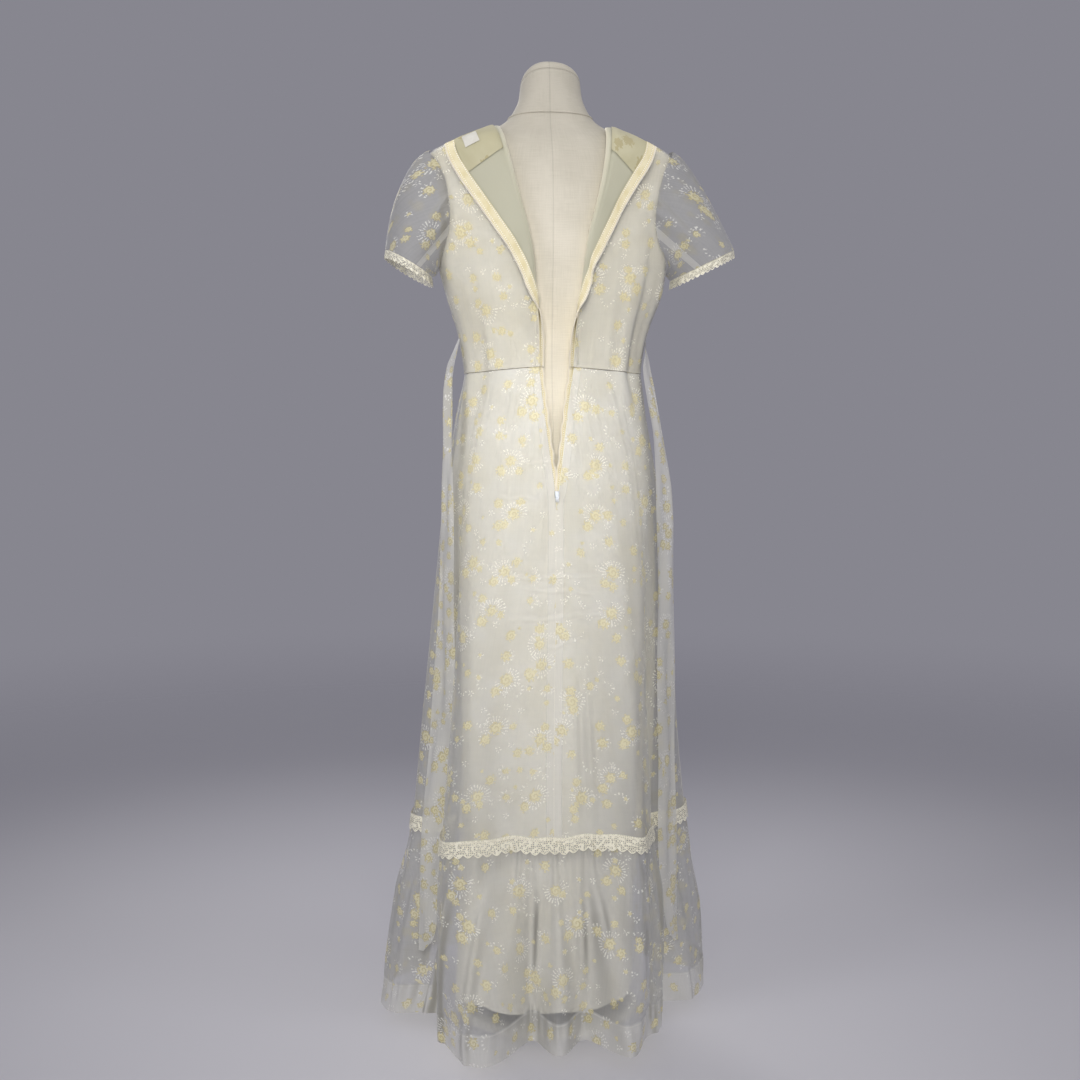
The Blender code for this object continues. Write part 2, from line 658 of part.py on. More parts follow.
def ruffle(collection):
    """The gathered flounce, in a back and a front length."""
    columns = RUFFLE_GATHERS * 2
    heights = (LACE_SEAM - SEAM, *RUFFLE_ROWS, HEM_LEVEL)
    for name, first in (("back", -math.pi), ("front", 0.0)):
        gap = SEAM / float(skirt_radius(0.0, LACE_SEAM))
        theta = np.linspace(first + gap, first + math.pi - gap, columns // 2 + 1)
        rows = []
        for height in heights:
            share = (LACE_SEAM - height) / (LACE_SEAM - HEM_LEVEL)
            crease = GATHER_HEIGHT * (1 - GATHER_LOSS * share)
            zigzag = np.where(np.arange(len(theta)) % 2 == 0, crease / 2, -crease / 2)
            radius = skirt_radius(theta, height)
            plain = oval(theta, *[column(SKIRT, s, height) for s in ("left", "right", "back", "front")])
            level = height - np.clip(radius - plain, -0.05, 0.07) * HEM_SWING * share
            rows.append(around(theta, radius + zigzag, level))
        cloth("ruffle_" + name, np.array(rows), "organza", collection)

        theta = np.linspace(first + gap, first + math.pi - gap, LACE_SCALLOPS + 1)
        rows = []
        for level, lift, scallop in ((LACE_ABOVE, LACE_LIFT_TOP, 0), (-LACE_BELOW, LACE_LIFT_LOW, SCALLOP_CUT)):
            heights_here = np.full(len(theta), LACE_SEAM + level)
            heights_here[1::2] += scallop
            line = around(theta, skirt_radius(theta, LACE_SEAM), heights_here)
            across = np.gradient(line, axis=0)
            out = np.stack([across[:, 1], -across[:, 0], np.zeros(len(theta))], -1)
            out /= np.linalg.norm(out, axis=1, keepdims=True)
            rows.append(line + out * lift)
        cloth("ruffle_lace_" + name, np.array(rows), "lace", collection)


def zip_tape(label, lapel, collection):
    """One side of the zip's tape: along the lapel, and on down the skirt's opening."""
    side = -1 if label == "left" else 1
    rows = []
    for line in lapel:
        run = (line[-1] - line[-2]) / np.linalg.norm(line[-1] - line[-2])
        rows.append([line[-2], line[-1], line[-1] + run * TAPE_EDGE])
    for height in SKIRT_LINING["height"][:4]:
        level = max(height - 2 * SEAM, SLIDER_LEVEL + SEAM)
        edge = seam_angle(lining_radius, label, level)
        radius = float(lining_radius(edge, level)) - TAPE_DEPTH
        gap = abs(float(column(BACK_SEAM, label, level)) - SLIDER_X)
        reach = min(TAPE_EDGE, gap - SEAM)
        rows.append([around(edge + side * step / radius, radius, level)
                     for step in (TAPE_LAP, 0.0, -reach)])
    cloth("zip_tape_" + label, np.array(rows), "tape", collection)


def tie(label, rows, collection):
    """A sash end that hangs from the side seam, outside the skirt."""
    share = np.linspace(0, 1, TIE_COLUMNS)[:, None]
    grid = []
    for height, x_outer, y_outer, x_inner, y_inner in zip(*rows.values()):
        outer = np.array([x_outer, y_outer, height])
        inner = np.array([x_inner, y_inner, height])
        grid.append(outer + (inner - outer) * share)
    cloth("tie_" + label, np.array(grid), "organza", collection, thickness=TIE_CLOTH)


def cut(piece, cutter):
    """Take the cutter out of a piece."""
    combine(piece, cutter, "DIFFERENCE")


def combine(piece, cutter, operation):
    change = piece.modifiers.new(cutter.name, "BOOLEAN")
    change.operation = operation
    change.object = cutter
    cutter.hide_render = True
    cutter.display_type = "WIRE"


def block(name, size, location, parent, collection, bevel=0.0):
    bpy.ops.mesh.primitive_cube_add(size=1, location=location)
    piece = bpy.context.object
    piece.name = name
    piece.data.transform(Matrix.Diagonal((*size, 1)))
    for owner in list(piece.users_collection):
        owner.objects.unlink(piece)
    collection.objects.link(piece)
    piece.parent = parent
    if bevel:
        edge = piece.modifiers.new("Edge", "BEVEL")
        edge.width = bevel
        edge.segments = 2
    return piece


def zip_slider(collection, cutters):
    """The slider with its crown, and the pull tab that hangs on the crown."""
    deep = float(skirt_radius(-math.pi / 2, SLIDER_LEVEL))
    hold = bpy.data.objects.new("slider_place", None)
    hold.location = (SLIDER_X, -deep - CLOTH / 2 - SLIDER_GAP - SLIDER["depth"] / 2,
                     SLIDER_LEVEL - SLIDER_DROP)
    hold.rotation_euler = (-SLIDER_LEAN, 0, 0)
    collection.objects.link(hold)

    body = block("zip_slider", (SLIDER["width"], SLIDER["depth"], SLIDER["length"]), (0, 0, 0),
                 hold, collection, bevel=0.6 * MM)
    body.data.materials.append(new_material("metal", 0.35, 1.0))
    face = -SLIDER["depth"] / 2
    rise = CROWN["inside"] + CROWN["wall"]
    crown = block("crown", (CROWN["width"], rise + 1 * MM, CROWN["length"]),
                  (0, face - rise / 2 + 0.5 * MM, 0), hold, cutters)
    slot = block("crown_slot", (CROWN["width"] * 3, CROWN["inside"], CROWN["length"] - 2 * CROWN["wall"]),
                 (0, face - CROWN["inside"] / 2, 0), hold, cutters)
    cut(crown, slot)
    combine(body, crown, "UNION")

    hinge = (0, face - CROWN["inside"] / 2, CROWN["length"] / 2 - CROWN["wall"] - TAB["play"])
    tab = block("pull_tab", (TAB["width"], TAB["thick"], TAB["length"]),
                (hinge[0], hinge[1], hinge[2] + TAB["bar"] - TAB["length"] / 2), hold, collection,
                bevel=0.3 * MM)
    tab.data.materials.append(new_material("metal", 0.35, 1.0))
    window = block("tab_window", (TAB["window"], TAB["thick"] * 3, TAB["window_length"]),
                   (0, hinge[1], hinge[2] - TAB["bar"] - TAB["window_length"] / 2), hold, cutters)
    cut(tab, window)
    bpy.ops.mesh.primitive_cylinder_add(vertices=12, radius=TAB["eye"], depth=TAB["thick"] * 3,
                                        rotation=(math.pi / 2, 0, 0))
    eye = bpy.context.object
    eye.name = "tab_eye"
    eye.data.transform(eye.matrix_basis)
    eye.rotation_euler = (0, 0, 0)
    eye.location = (0, hinge[1], hinge[2] + TAB["bar"] - TAB["length"] + TAB["eye_rise"])
    for owner in list(eye.users_collection):
        owner.objects.unlink(eye)
    cutters.objects.link(eye)
    eye.parent = hold
    cut(tab, eye)


def patch(points, rows, columns, count=3):
    """A small grid laid on a larger one, between fractional rows and columns."""
    laid = []
    for row in np.linspace(*rows, count):
        r = int(row)
        line = points[r] * (1 - row + r) + points[r + 1] * (row - r)
        laid.append([line[int(c)] * (1 - c + int(c)) + line[int(c) + 1] * (c - int(c))
                     for c in np.linspace(*columns, count)])
    return np.array(laid)


def neck_label(facing, collection):
    """The small bare label sewn at the neck, on the left facing."""
    laid = patch(facing, LABEL_ROWS, LABEL_COLUMNS)
    cloth("neck_label", moved(laid, LABEL_LIFT), "label", collection, thickness=LABEL_CLOTH)


def main():
    for piece in list(bpy.data.objects):
        bpy.data.objects.remove(piece)
    collection = bpy.data.collections.new("prairie_dress")
    cutters = bpy.data.collections.new("cutters")
    bpy.context.scene.collection.children.link(collection)
    bpy.context.scene.collection.children.link(cutters)

    dress_form(collection)
    stand(collection)
    facing_left = back_bodice(-1, collection)
    facing_right = back_bodice(1, collection)
    neck_label(facing_left, collection)
    zip_tape("left", facing_left, collection)
    zip_tape("right", facing_right, collection)
    bodice_front(collection)
    sleeve(0, collection)
    sleeve(1, collection)
    skirt(collection)
    ruffle(collection)
    tie("left", TIE_LEFT, collection)
    tie("right", TIE_RIGHT, collection)
    zip_slider(collection, cutters)


main()
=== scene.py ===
"""The looks of a long prairie dress of printed organza on a limbless dress form.

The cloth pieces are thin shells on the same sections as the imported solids, with the creases
of the real cloth added, and each stands for its solid. The hard pieces keep their solids.
"""
from __future__ import annotations

import json
import logging
import math
from collections.abc import Callable, Sequence
from dataclasses import dataclass, field
from enum import Enum

import bmesh
import bpy
import numpy as np
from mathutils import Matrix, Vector

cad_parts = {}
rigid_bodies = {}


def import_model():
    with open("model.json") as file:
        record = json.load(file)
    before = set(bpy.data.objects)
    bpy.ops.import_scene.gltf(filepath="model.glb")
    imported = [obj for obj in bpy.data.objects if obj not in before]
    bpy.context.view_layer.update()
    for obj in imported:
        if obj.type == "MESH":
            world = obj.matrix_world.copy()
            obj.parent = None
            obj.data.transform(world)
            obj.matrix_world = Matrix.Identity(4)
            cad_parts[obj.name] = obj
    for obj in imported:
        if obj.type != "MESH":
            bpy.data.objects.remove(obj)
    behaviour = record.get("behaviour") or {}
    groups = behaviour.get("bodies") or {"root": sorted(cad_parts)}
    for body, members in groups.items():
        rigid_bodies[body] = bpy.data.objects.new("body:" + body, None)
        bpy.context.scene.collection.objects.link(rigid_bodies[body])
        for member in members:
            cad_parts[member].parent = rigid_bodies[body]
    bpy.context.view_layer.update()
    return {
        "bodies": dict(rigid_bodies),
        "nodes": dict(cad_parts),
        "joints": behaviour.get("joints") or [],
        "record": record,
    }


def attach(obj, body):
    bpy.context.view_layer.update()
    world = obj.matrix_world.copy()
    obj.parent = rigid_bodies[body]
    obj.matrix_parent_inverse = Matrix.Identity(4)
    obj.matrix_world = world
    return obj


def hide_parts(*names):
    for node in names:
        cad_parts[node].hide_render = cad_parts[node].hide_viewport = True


LOG = logging.getLogger("prairie_dress")
MM = 0.001

WAIST = 1.041
NECK_POINT = 1.4075
LACE_SEAM = 0.326
HEM_LEVEL = 0.026
LINING_HEM = 0.045
SLIDER_LEVEL = 0.850
SEAM = 0.4 * MM
LAYER = 0.85 * MM
FACING_LAYER = 2.5 * MM
ARMHOLE_TOP = 1.373
ARMHOLE_BOTTOM = 1.193
ARMHOLE_HALF_ANGLE = math.radians(23)
FORM_CENTRE = 0.006
FORM_GIRTH_RADIUS = 0.11   # mean radius, for the weave
WAIST_DIP = 0.010           # how much lower the waist seam lies at the sides
DIP_TOP, DIP_LOW = 1.12, 0.90   # where the cloth lies level again
BUST = 1.24
FOLDS_TOP = 1.30            # the bodice's soft folds end here
FACING_LOW = 1.366          # the neck facing's lower edge
LABEL_TOP, LABEL_LOW = 1.4052, 1.3909
LABEL_SPAN = (0.40, 0.70)   # where it lies across the lapel, as shares of its width
SLIDER_X = 0.9 * MM
BODY = "dress"
SINGLE = 9.0              # marks cloth that lies in one layer
LONG_CREASE = 1.0         # creases that start above this run from the waist seam
DIES_AWAY = 0.40          # creases that end above this die away, and the others reach the lace
FOLD_WINDOW = 0.060       # width over which a fold is measured against the broad form
FOLD_CONTRAST = 4.0
PRINT_SHIFT = 0.137       # the print moves on by some of these steps from piece to piece
PRINT_PLACES = 17
SIDES = ("left", "right", "back", "front")
Table = dict[str, np.ndarray]
RadiusOf = Callable[[np.ndarray, np.ndarray], np.ndarray]
Socket = bpy.types.NodeSocket
Tree = bpy.types.NodeTree
Finish = bpy.types.Material


class Held(Enum):
    """How a sheet of cloth is held."""

    HUNG = "hung"
    GATHERED = "gathered"
    FOLDED = "folded"
    LAID = "laid"


@dataclass(frozen=True)
class Cut:
    """The size that a piece was cut to, in metres and square metres, and how it is held."""

    width: float
    length: float
    area: float | None = None
    held: Held = Held.HUNG


def table(columns: str, rows: Sequence[Sequence[float]]) -> Table:
    """A table with named columns.

    Args:
        columns: the columns' names, with spaces between them.
        rows: one row of numbers for each level or fold.

    Returns:
        An array for each column's name.
    """
    return {name: np.array([row[i] for row in rows], float)
            for i, name in enumerate(columns.split())}


# The dress form: half width, depth to the back and to the front, and how far the ring leans.
FORM = table("height half back front lean", [
    (0.800, 0.148, 0.098, 0.090, 0.00),
    (0.850, 0.156, 0.108, 0.098, 0.00),
    (0.910, 0.148, 0.106, 0.100, 0.00),
    (0.970, 0.132, 0.096, 0.096, 0.00),
    (1.041, 0.118, 0.084, 0.090, 0.00),
    (1.100, 0.127, 0.088, 0.099, 0.00),
    (1.160, 0.143, 0.095, 0.120, 0.00),
    (1.215, 0.153, 0.100, 0.135, 0.00),
    (1.275, 0.164, 0.102, 0.122, 0.00),
    (1.330, 0.178, 0.098, 0.100, 0.00),
    (1.366, 0.178, 0.089, 0.083, 0.00),
    (1.388, 0.150, 0.078, 0.070, 0.00),
    (1.4075, 0.096, 0.064, 0.058, 0.00),
    (1.420, 0.072, 0.058, 0.053, 0.05),
    (1.434, 0.060, 0.055, 0.050, 0.10),
    (1.454, 0.050, 0.050, 0.048, 0.30),
    (1.4735, 0.047, 0.047, 0.045, 0.50),
])
# How far the bodice stands off the form to each side.
EASE = table("height left right back front", [
    (1.041, 0.017, 0.023, 0.014, 0.008),
    (1.085, 0.018, 0.024, 0.013, 0.007),
    (1.125, 0.020, 0.030, 0.011, 0.006),
    (1.165, 0.022, 0.034, 0.009, 0.006),
    (1.205, 0.026, 0.034, 0.008, 0.006),
    (1.245, 0.028, 0.032, 0.007, 0.007),
    (1.285, 0.026, 0.030, 0.006, 0.008),
    (1.325, 0.016, 0.022, 0.006, 0.006),
    (1.366, 0.014, 0.016, 0.006, 0.006),
    (1.388, 0.010, 0.011, 0.010, 0.007),
    (1.4075, 0.0060, 0.0060, 0.0078, 0.0050),
])
# The open back: where each lapel rolls over, how far it turns in degrees, where its edge lies,
# how far that edge falls, and how far it stands off.
OPENING = table("height roll_left roll_right turn edge_left edge_right fall lift", [
    (1.4075, -0.079, 0.087, 180, -0.158, 0.155, 0.0295, 0.017),
    (1.388, -0.075, 0.0850, 180, -0.150, 0.146, 0.0340, 0.015),
    (1.366, -0.070, 0.083, 180, -0.134, 0.127, 0.0420, 0.012),
    (1.325, -0.061, 0.076, 178, -0.111, 0.106, 0.0350, 0.010),
    (1.285, -0.051, 0.067, 172, -0.0875, 0.088, 0.0300, 0.010),
    (1.245, -0.041, 0.057, 165, -0.065, 0.072, 0.0230, 0.010),
    (1.205, -0.034, 0.051, 150, -0.048, 0.057, 0.0150, 0.010),
    (1.165, -0.031, 0.0465, 120, -0.036, 0.0500, 0.0090, 0.013),
    (1.125, -0.029, 0.0425, 80, -0.0245, 0.0385, 0.0030, 0.011),
    (1.085, -0.0275, 0.0395, 40, -0.0215, 0.0335, 0.0000, 0.005),
    (WAIST + SEAM, -0.0265, 0.0375, 12, -0.0205, 0.0315, 0.0000, 0.001),
])
# Half sizes of the skirt and of its lining to each side.
SKIRT = table("height left right back front", [
    (WAIST - SEAM, 0.129, 0.147, 0.098, 0.098),
    (0.985, 0.139, 0.156, 0.113, 0.108),
    (0.930, 0.148, 0.165, 0.127, 0.116),
    (0.850, 0.160, 0.178, 0.143, 0.126),
    (0.740, 0.172, 0.192, 0.156, 0.140),
    (0.610, 0.184, 0.203, 0.168, 0.154),
    (0.470, 0.197, 0.212, 0.177, 0.167),
    (LACE_SEAM + SEAM, 0.210, 0.226, 0.187, 0.180),
    (0.200, 0.234, 0.243, 0.212, 0.205),
    (0.075, 0.257, 0.256, 0.240, 0.230),
    (HEM_LEVEL, 0.264, 0.260, 0.247, 0.238),
])
SKIRT_LINING = table("height left right back front", [
    (WAIST - SEAM, 0.1270, 0.1450, 0.0960, 0.0960),
    (0.985, 0.1355, 0.1525, 0.1095, 0.1045),
    (0.930, 0.143, 0.160, 0.1225, 0.1115),
    (SLIDER_LEVEL, 0.152, 0.167, 0.1370, 0.1180),
    (0.740, 0.154, 0.163, 0.1460, 0.1240),
    (0.500, 0.148, 0.152, 0.152, 0.134),
    (LACE_SEAM, 0.142, 0.143, 0.155, 0.140),
    (LINING_HEM, 0.136, 0.138, 0.158, 0.144),
])
# The skirt's two back edges: apart above the slider, and sewn together below it.
BACK_SEAM = table("height left right", [
    (WAIST - SEAM, -0.0215, 0.0325),
    (0.985, -0.0165, 0.0225),
    (0.930, -0.0110, 0.0150),
    (SLIDER_LEVEL, -0.0016, 0.0034),
    (0.838, -0.0008, -0.0004),
    (0.740, -0.0018, -0.0016),
    (0.470, -0.0066, -0.0064),
    (LACE_SEAM, -0.0076, -0.0074),
    (LINING_HEM, -0.0081, -0.0079),
])
# The skirt's large folds: their angles at the hip, the lace and the hem, their half width in
# degrees, and how far they stand out or in at the same three levels.
FOLDS = table("at_hip at_lace at_hem wide hip lace hem", [
    (-128, -130, -115, 13, 0.003, 0.050, 0.058),
    (-158, -155, -149, 11, -0.006, -0.052, -0.052),
    (-172, -172, -168, 9, 0.002, 0.010, 0.010),
    (-104, -103, -102, 7, 0.000, -0.002, -0.052),
    (-92, -91, -92, 7, 0.000, -0.003, 0.028),
    (-80, -80, -81, 7, 0.000, 0.002, -0.029),
    (-56, -58, -71, 7.5, 0.003, 0.026, 0.048),
    (-28, -25, -33, 14, -0.006, -0.060, -0.076),
    (0, 2, 8, 12, 0.002, 0.006, 0.008),
    (30, 28, 30, 12, -0.004, -0.030, -0.050),
    (56, 54, 52, 12, 0.002, 0.016, 0.040),
    (78, 76, 74, 8, 0.000, -0.004, -0.030),
    (92, 92, 92, 9, 0.000, 0.004, 0.030),
    (108, 108, 110, 8, 0.000, -0.006, -0.030),
    (128, 128, 130, 12, 0.002, 0.018, 0.042),
    (152, 152, 152, 12, -0.004, -0.034, -0.048),
])
# The bodice's soft folds: angle, half width, and depth at the waist and at the bust.
BODICE_FOLDS = table("angle wide waist bust", [
    (-12, 5, 0.004, 0.002),
    (-23, 5, -0.006, -0.002),
    (-33, 5, 0.005, 0.002),
    (-150, 6, -0.004, -0.001),
    (-164, 6, 0.004, 0.001),
    (24, 6, -0.005, -0.002),
    (156, 6, -0.005, -0.002),
])
# The sleeves: side, the top and the underside of the hem, and how far the cloth puffs out.
SLEEVES = table("side tip_x tip_z under_x under_z puff", [
    (-1, -0.253, 1.224, -0.180, 1.181, 0.024),
    (1, 0.300, 1.229, 0.200, 1.180, 0.012),
])
# The two edges of each tie.
TIE_LEFT = table("height x_outer y_outer x_inner y_inner", [
    (1.086, -0.1392, -0.006, -0.1380, -0.025),
    (1.062, -0.150, -0.014, -0.144, -0.037),
    (1.040, -0.159, -0.020, -0.149, -0.045),
    (1.000, -0.164, -0.032, -0.153, -0.060),
    (0.930, -0.166, -0.049, -0.154, -0.076),
    (0.850, -0.168, -0.058, -0.154, -0.090),
    (0.740, -0.173, -0.062, -0.153, -0.106),
    (0.610, -0.179, -0.059, -0.153, -0.107),
    (0.470, -0.190, -0.058, -0.155, -0.098),
    (0.326, -0.203, -0.067, -0.168, -0.104),
    (0.230, -0.208, -0.077, -0.176, -0.111),
    (0.160, -0.210, -0.089, -0.187, -0.118),
    (0.132, -0.211, -0.097, -0.204, -0.103),
])
TIE_RIGHT = table("height x_outer y_outer x_inner y_inner", [
    (1.082, 0.1562, -0.005, 0.1560, -0.028),
    (1.060, 0.161, -0.016, 0.152, -0.040),
    (1.038, 0.164, -0.025, 0.148, -0.048),
    (1.000, 0.171, -0.034, 0.151, -0.057),
    (0.930, 0.182, -0.044, 0.161, -0.070),
    (0.850, 0.193, -0.050, 0.165, -0.080),
    (0.740, 0.199, -0.048, 0.166, -0.086),
    (0.610, 0.201, -0.048, 0.167, -0.088),
    (0.470, 0.203, -0.048, 0.168, -0.088),
    (0.326, 0.205, -0.053, 0.169, -0.092),
    (0.230, 0.204, -0.067, 0.172, -0.099),
    (0.160, 0.203, -0.081, 0.181, -0.105),
    (0.130, 0.203, -0.087, 0.196, -0.093),
])

# Where the lining stands fuller: angle, half width, and how far at the hip, below it, at the
# lace and at its hem.
LINING_FLARES = table("angle wide hip middle lace hem", [
    (-8, 10, 0.011, 0.021, 0.027, 0.000),
    (-150, 17, 0.000, 0.000, 0.002, 0.026),
    (-118, 14, 0.000, 0.000, 0.000, 0.012),
])

# Creases of the skirt: angle at the waist and at the hem, top and bottom, half width in
# degrees, and how far each stands out or in. No two are alike.
SKIRT_CREASES = table("top_angle low_angle top low wide depth", [
    (-98, -99, 1.03, 0.74, 1.6, 0.0011),
    (-107, -110, 1.03, 0.62, 2.2, -0.0016),
    (-116, -120, 1.02, 0.55, 1.8, 0.0012),
    (-124, -128, 1.03, 0.70, 1.4, -0.0012),
    (-139, -146, 1.03, 0.40, 2.6, 0.0026),
    (-149, -158, 1.02, 0.36, 2.2, -0.0022),
    (-165, -167, 1.03, 0.45, 2.4, 0.0022),
    (-79.5, -77.5, 0.62, 0.36, 1.5, -0.0034),
    (-75.5, -74.5, 0.60, 0.33, 1.3, 0.0026),
    (-74, -72, 1.03, 0.66, 2.0, -0.0014),
    (-66, -63, 1.02, 0.50, 1.7, 0.0013),
    (-58, -52, 1.03, 0.72, 1.5, -0.0012),
    (-46, -42, 1.03, 0.38, 2.5, 0.0026),
    (-36, -30, 1.02, 0.42, 2.2, -0.0020),
    (-18, -14, 1.03, 0.36, 2.8, 0.0028),
    (-8, -5, 1.02, 0.50, 2.0, -0.0020),
    (12, 14, 1.03, 0.45, 2.6, 0.0026),
    (22, 26, 1.03, 0.38, 2.2, -0.0022),
    (41, 44, 1.02, 0.55, 2.0, 0.0018),
    (52, 52, 1.03, 0.36, 2.6, -0.0018),
    (66, 67, 1.03, 0.60, 1.8, 0.0014),
    (83, 84, 1.02, 0.45, 2.2, -0.0016),
    (97, 96, 1.03, 0.52, 1.9, 0.0015),
    (113, 112, 1.03, 0.40, 2.4, -0.0020),
    (124, 126, 1.02, 0.62, 1.8, 0.0015),
    (141, 140, 1.03, 0.36, 2.6, 0.0026),
    (163, 162, 1.03, 0.42, 2.3, -0.0022),
    (173, 171, 1.02, 0.50, 2.0, 0.0020),
])
# Storage creases that run across the skirt: height, half width, angles they span, slope, depth.
CROSS_CREASES = table("height wide start end slope depth", [
    (0.895, 0.0022, -112, -84, 0.006, 0.0011),
    (0.842, 0.0020, -128, -96, -0.004, 0.0010),
    (0.723, 0.0024, -124, -62, 0.004, 0.0016),
    (0.702, 0.0022, -112, -66, -0.008, 0.0014),
    (0.663, 0.0026, -118, -56, 0.012, 0.0014),
    (0.622, 0.0022, -97, -78, 0.016, 0.0013),
    (0.745, 0.0024, 60, 112, 0.004, 0.0013),
    (0.668, 0.0026, 70, 124, -0.010, 0.0014),
    (0.560, 0.0024, 48, 80, 0.008, 0.0010),
])
# Creases of the bodice: angle, top and bottom, half width in degrees, depth.
BODICE_CREASES = table("angle top low wide depth", [
    (-171, 1.20, 1.045, 2.2, 0.0022),
    (-157, 1.24, 1.045, 1.8, -0.0016),
    (-143, 1.16, 1.045, 1.7, 0.0013),
    (-135, 1.30, 1.12, 2.4, 0.0012),
    (-122, 1.14, 1.045, 1.5, -0.0010),
    (-57, 1.15, 1.045, 1.6, 0.0011),
    (-44, 1.28, 1.045, 2.0, 0.0016),
    (-38, 1.20, 1.045, 1.5, -0.0018),
    (-28, 1.26, 1.045, 1.7, 0.0022),
    (-17, 1.22, 1.045, 1.7, -0.0022),
    (-7, 1.20, 1.045, 1.6, 0.0018),
    (10, 1.22, 1.045, 1.9, 0.0020),
    (34, 1.16, 1.045, 1.6, -0.0014),
    (62, 1.13, 1.045, 1.8, 0.0012),
    (90, 1.10, 1.045, 1.5, -0.0008),
    (118, 1.13, 1.045, 1.8, 0.0012),
    (146, 1.18, 1.045, 1.7, -0.0015),
    (170, 1.22, 1.045, 1.9, 0.0020),
])

CAP_HEIGHT = 0.027
CAP_GAP = 0.7 * MM
ROLL_RADIUS = 5.0 * MM
TAPE_LAP = 10.5 * MM
TAPE_EDGE = 5.0 * MM
TAPE_DEPTH = 3.2 * MM
LAID_OPEN = (120, 150)    # degrees of turn between which a lapel comes to lie open
PIPING = 1.4 * MM
COIL_PITCH = 2.0 * MM
BEAD_LONG, BEAD_WIDE, BEAD_TALL = 1.6 * MM, 0.6 * MM, 0.7 * MM   # half sizes of one turn
NECK_SCOOP = 0.030
BACK_REACH = 0.85
HEM_SWING = 0.12
HEM_TURN = 0.045          # depth of the flounce's turned-up hem
GATHER_HEIGHT = 3.4 * MM
BROAD_FOLD = 13 * MM       # the tallest of the flounce's broad folds
LACE_ABOVE = 7 * MM
LACE_BELOW = 19 * MM
LACE_LIFT_TOP = 3.2 * MM
LACE_LIFT_LOW = 6.7 * MM
SLEEVE_HALF_DEPTH = 0.064
SLEEVE_STAND_OFF = 2.4 * MM
SLEEVE_GATHER_HEIGHT = 2.6 * MM
SLEEVE_LACE_DEPTH = 14 * MM
SLEEVE_CAP = 0.35
SLEEVE_SEAM_ANGLE = 1.95
SLEEVE_RADIUS = 0.085       # mean radius, for the seam's allowance
SLEEVE_ALLOWANCE = 8 * MM
SKIRT_ALLOWANCE = 11 * MM


def smooth(knots: np.ndarray, values: np.ndarray, x: np.ndarray | float) -> np.ndarray:
    """A smooth curve through the knots that never overshoots them.

    Args:
        knots: where the values are given, in any order.
        values: the values there.
        x: where the curve is wanted.

    Returns:
        The curve's values at x, held level beyond the outer knots.
    """
    order = np.argsort(knots)
    xs, ys = np.asarray(knots, float)[order], np.asarray(values, float)[order]
    steps = np.diff(xs)
    slopes = np.diff(ys) / steps
    tangents = np.zeros_like(ys)
    tangents[0], tangents[-1] = slopes[0], slopes[-1]
    same_way = slopes[:-1] * slopes[1:] > 0
    weights = 2 / (1 / np.where(same_way, slopes[:-1], 1) + 1 / np.where(same_way, slopes[1:], 1))
    tangents[1:-1] = np.where(same_way, weights, 0)
    x = np.clip(x, xs[0], xs[-1])
    i = np.clip(np.searchsorted(xs, x) - 1, 0, len(steps) - 1)
    t = (x - xs[i]) / steps[i]
    return ((1 + 2 * t) * (1 - t) ** 2 * ys[i] + t * (1 - t) ** 2 * steps[i] * tangents[i]
            + t * t * (3 - 2 * t) * ys[i + 1] - t * t * (1 - t) * steps[i] * tangents[i + 1])


def column(rows: Table, name: str, height: np.ndarray | float) -> np.ndarray:
    """A table's column, read at a height."""
    return smooth(rows["height"], rows[name], height)


def ease_in(low: float, high: float, x: np.ndarray) -> np.ndarray:
    """0 below low, 1 above high and smooth between."""
    t = np.clip((x - low) / (high - low), 0, 1)
    return t * t * (3 - 2 * t)


def angle_off(theta: np.ndarray, degrees: np.ndarray | float) -> np.ndarray:
    """Signed angle from a fold's middle, in degrees."""
    return (np.degrees(theta) - degrees + 180) % 360 - 180


def oval(theta: np.ndarray, left: np.ndarray, right: np.ndarray, back: np.ndarray,
         front: np.ndarray, power: float = 2.3) -> np.ndarray:
    """Distance from the axis to a rounded oval.

    Args:
        theta: angle round the axis.
        left, right, back, front: half sizes to each side.
        power: 2 is an ellipse, and more is squarer.

    Returns:
        The distance at each angle.
    """
    across = np.where(np.cos(theta) > 0, right, left)
    deep = np.where(np.sin(theta) > 0, front, back)
    total = np.abs(np.cos(theta) / across) ** power + np.abs(np.sin(theta) / deep) ** power
    return total ** (-1 / power)


def section(rows: Table, theta: np.ndarray, height: np.ndarray) -> np.ndarray:
    """A table's oval at a height."""
    return oval(theta, *[column(rows, side, height) for side in SIDES])


def bulge(theta: np.ndarray, degrees: np.ndarray | float, wide: np.ndarray | float) -> np.ndarray:
    """A fold's rounded shape: 1 at its middle, and nearly 0 two half widths away."""
    return np.exp(-(angle_off(theta, degrees) / wide) ** 2)


def form_oval(theta: np.ndarray, height: np.ndarray,
              ease: Sequence[np.ndarray | float] = (0, 0, 0, 0)) -> np.ndarray:
    """The dress form's section at a height, with ease added to the left, right, back and front."""
    half = column(FORM, "half", height)
    return oval(theta, half - FORM_CENTRE + ease[0], half + FORM_CENTRE + ease[1],
                column(FORM, "back", height) + ease[2], column(FORM, "front", height) + ease[3])


def carried_folds(theta: np.ndarray, height: np.ndarray) -> np.ndarray:
    """The bodice's folds where they run on over the waist seam into the skirt, and die away.

    Args:
        theta: angle round the axis.
        height: the section's height.

    Returns:
        How far they stand out.
    """
    total = np.zeros(np.broadcast(theta, height).shape)
    for angle, wide, waist, _ in zip(*BODICE_FOLDS.values()):
        total = total + waist * bulge(theta, angle, wide)
    return total * ease_in(WAIST - 0.09, WAIST, height)


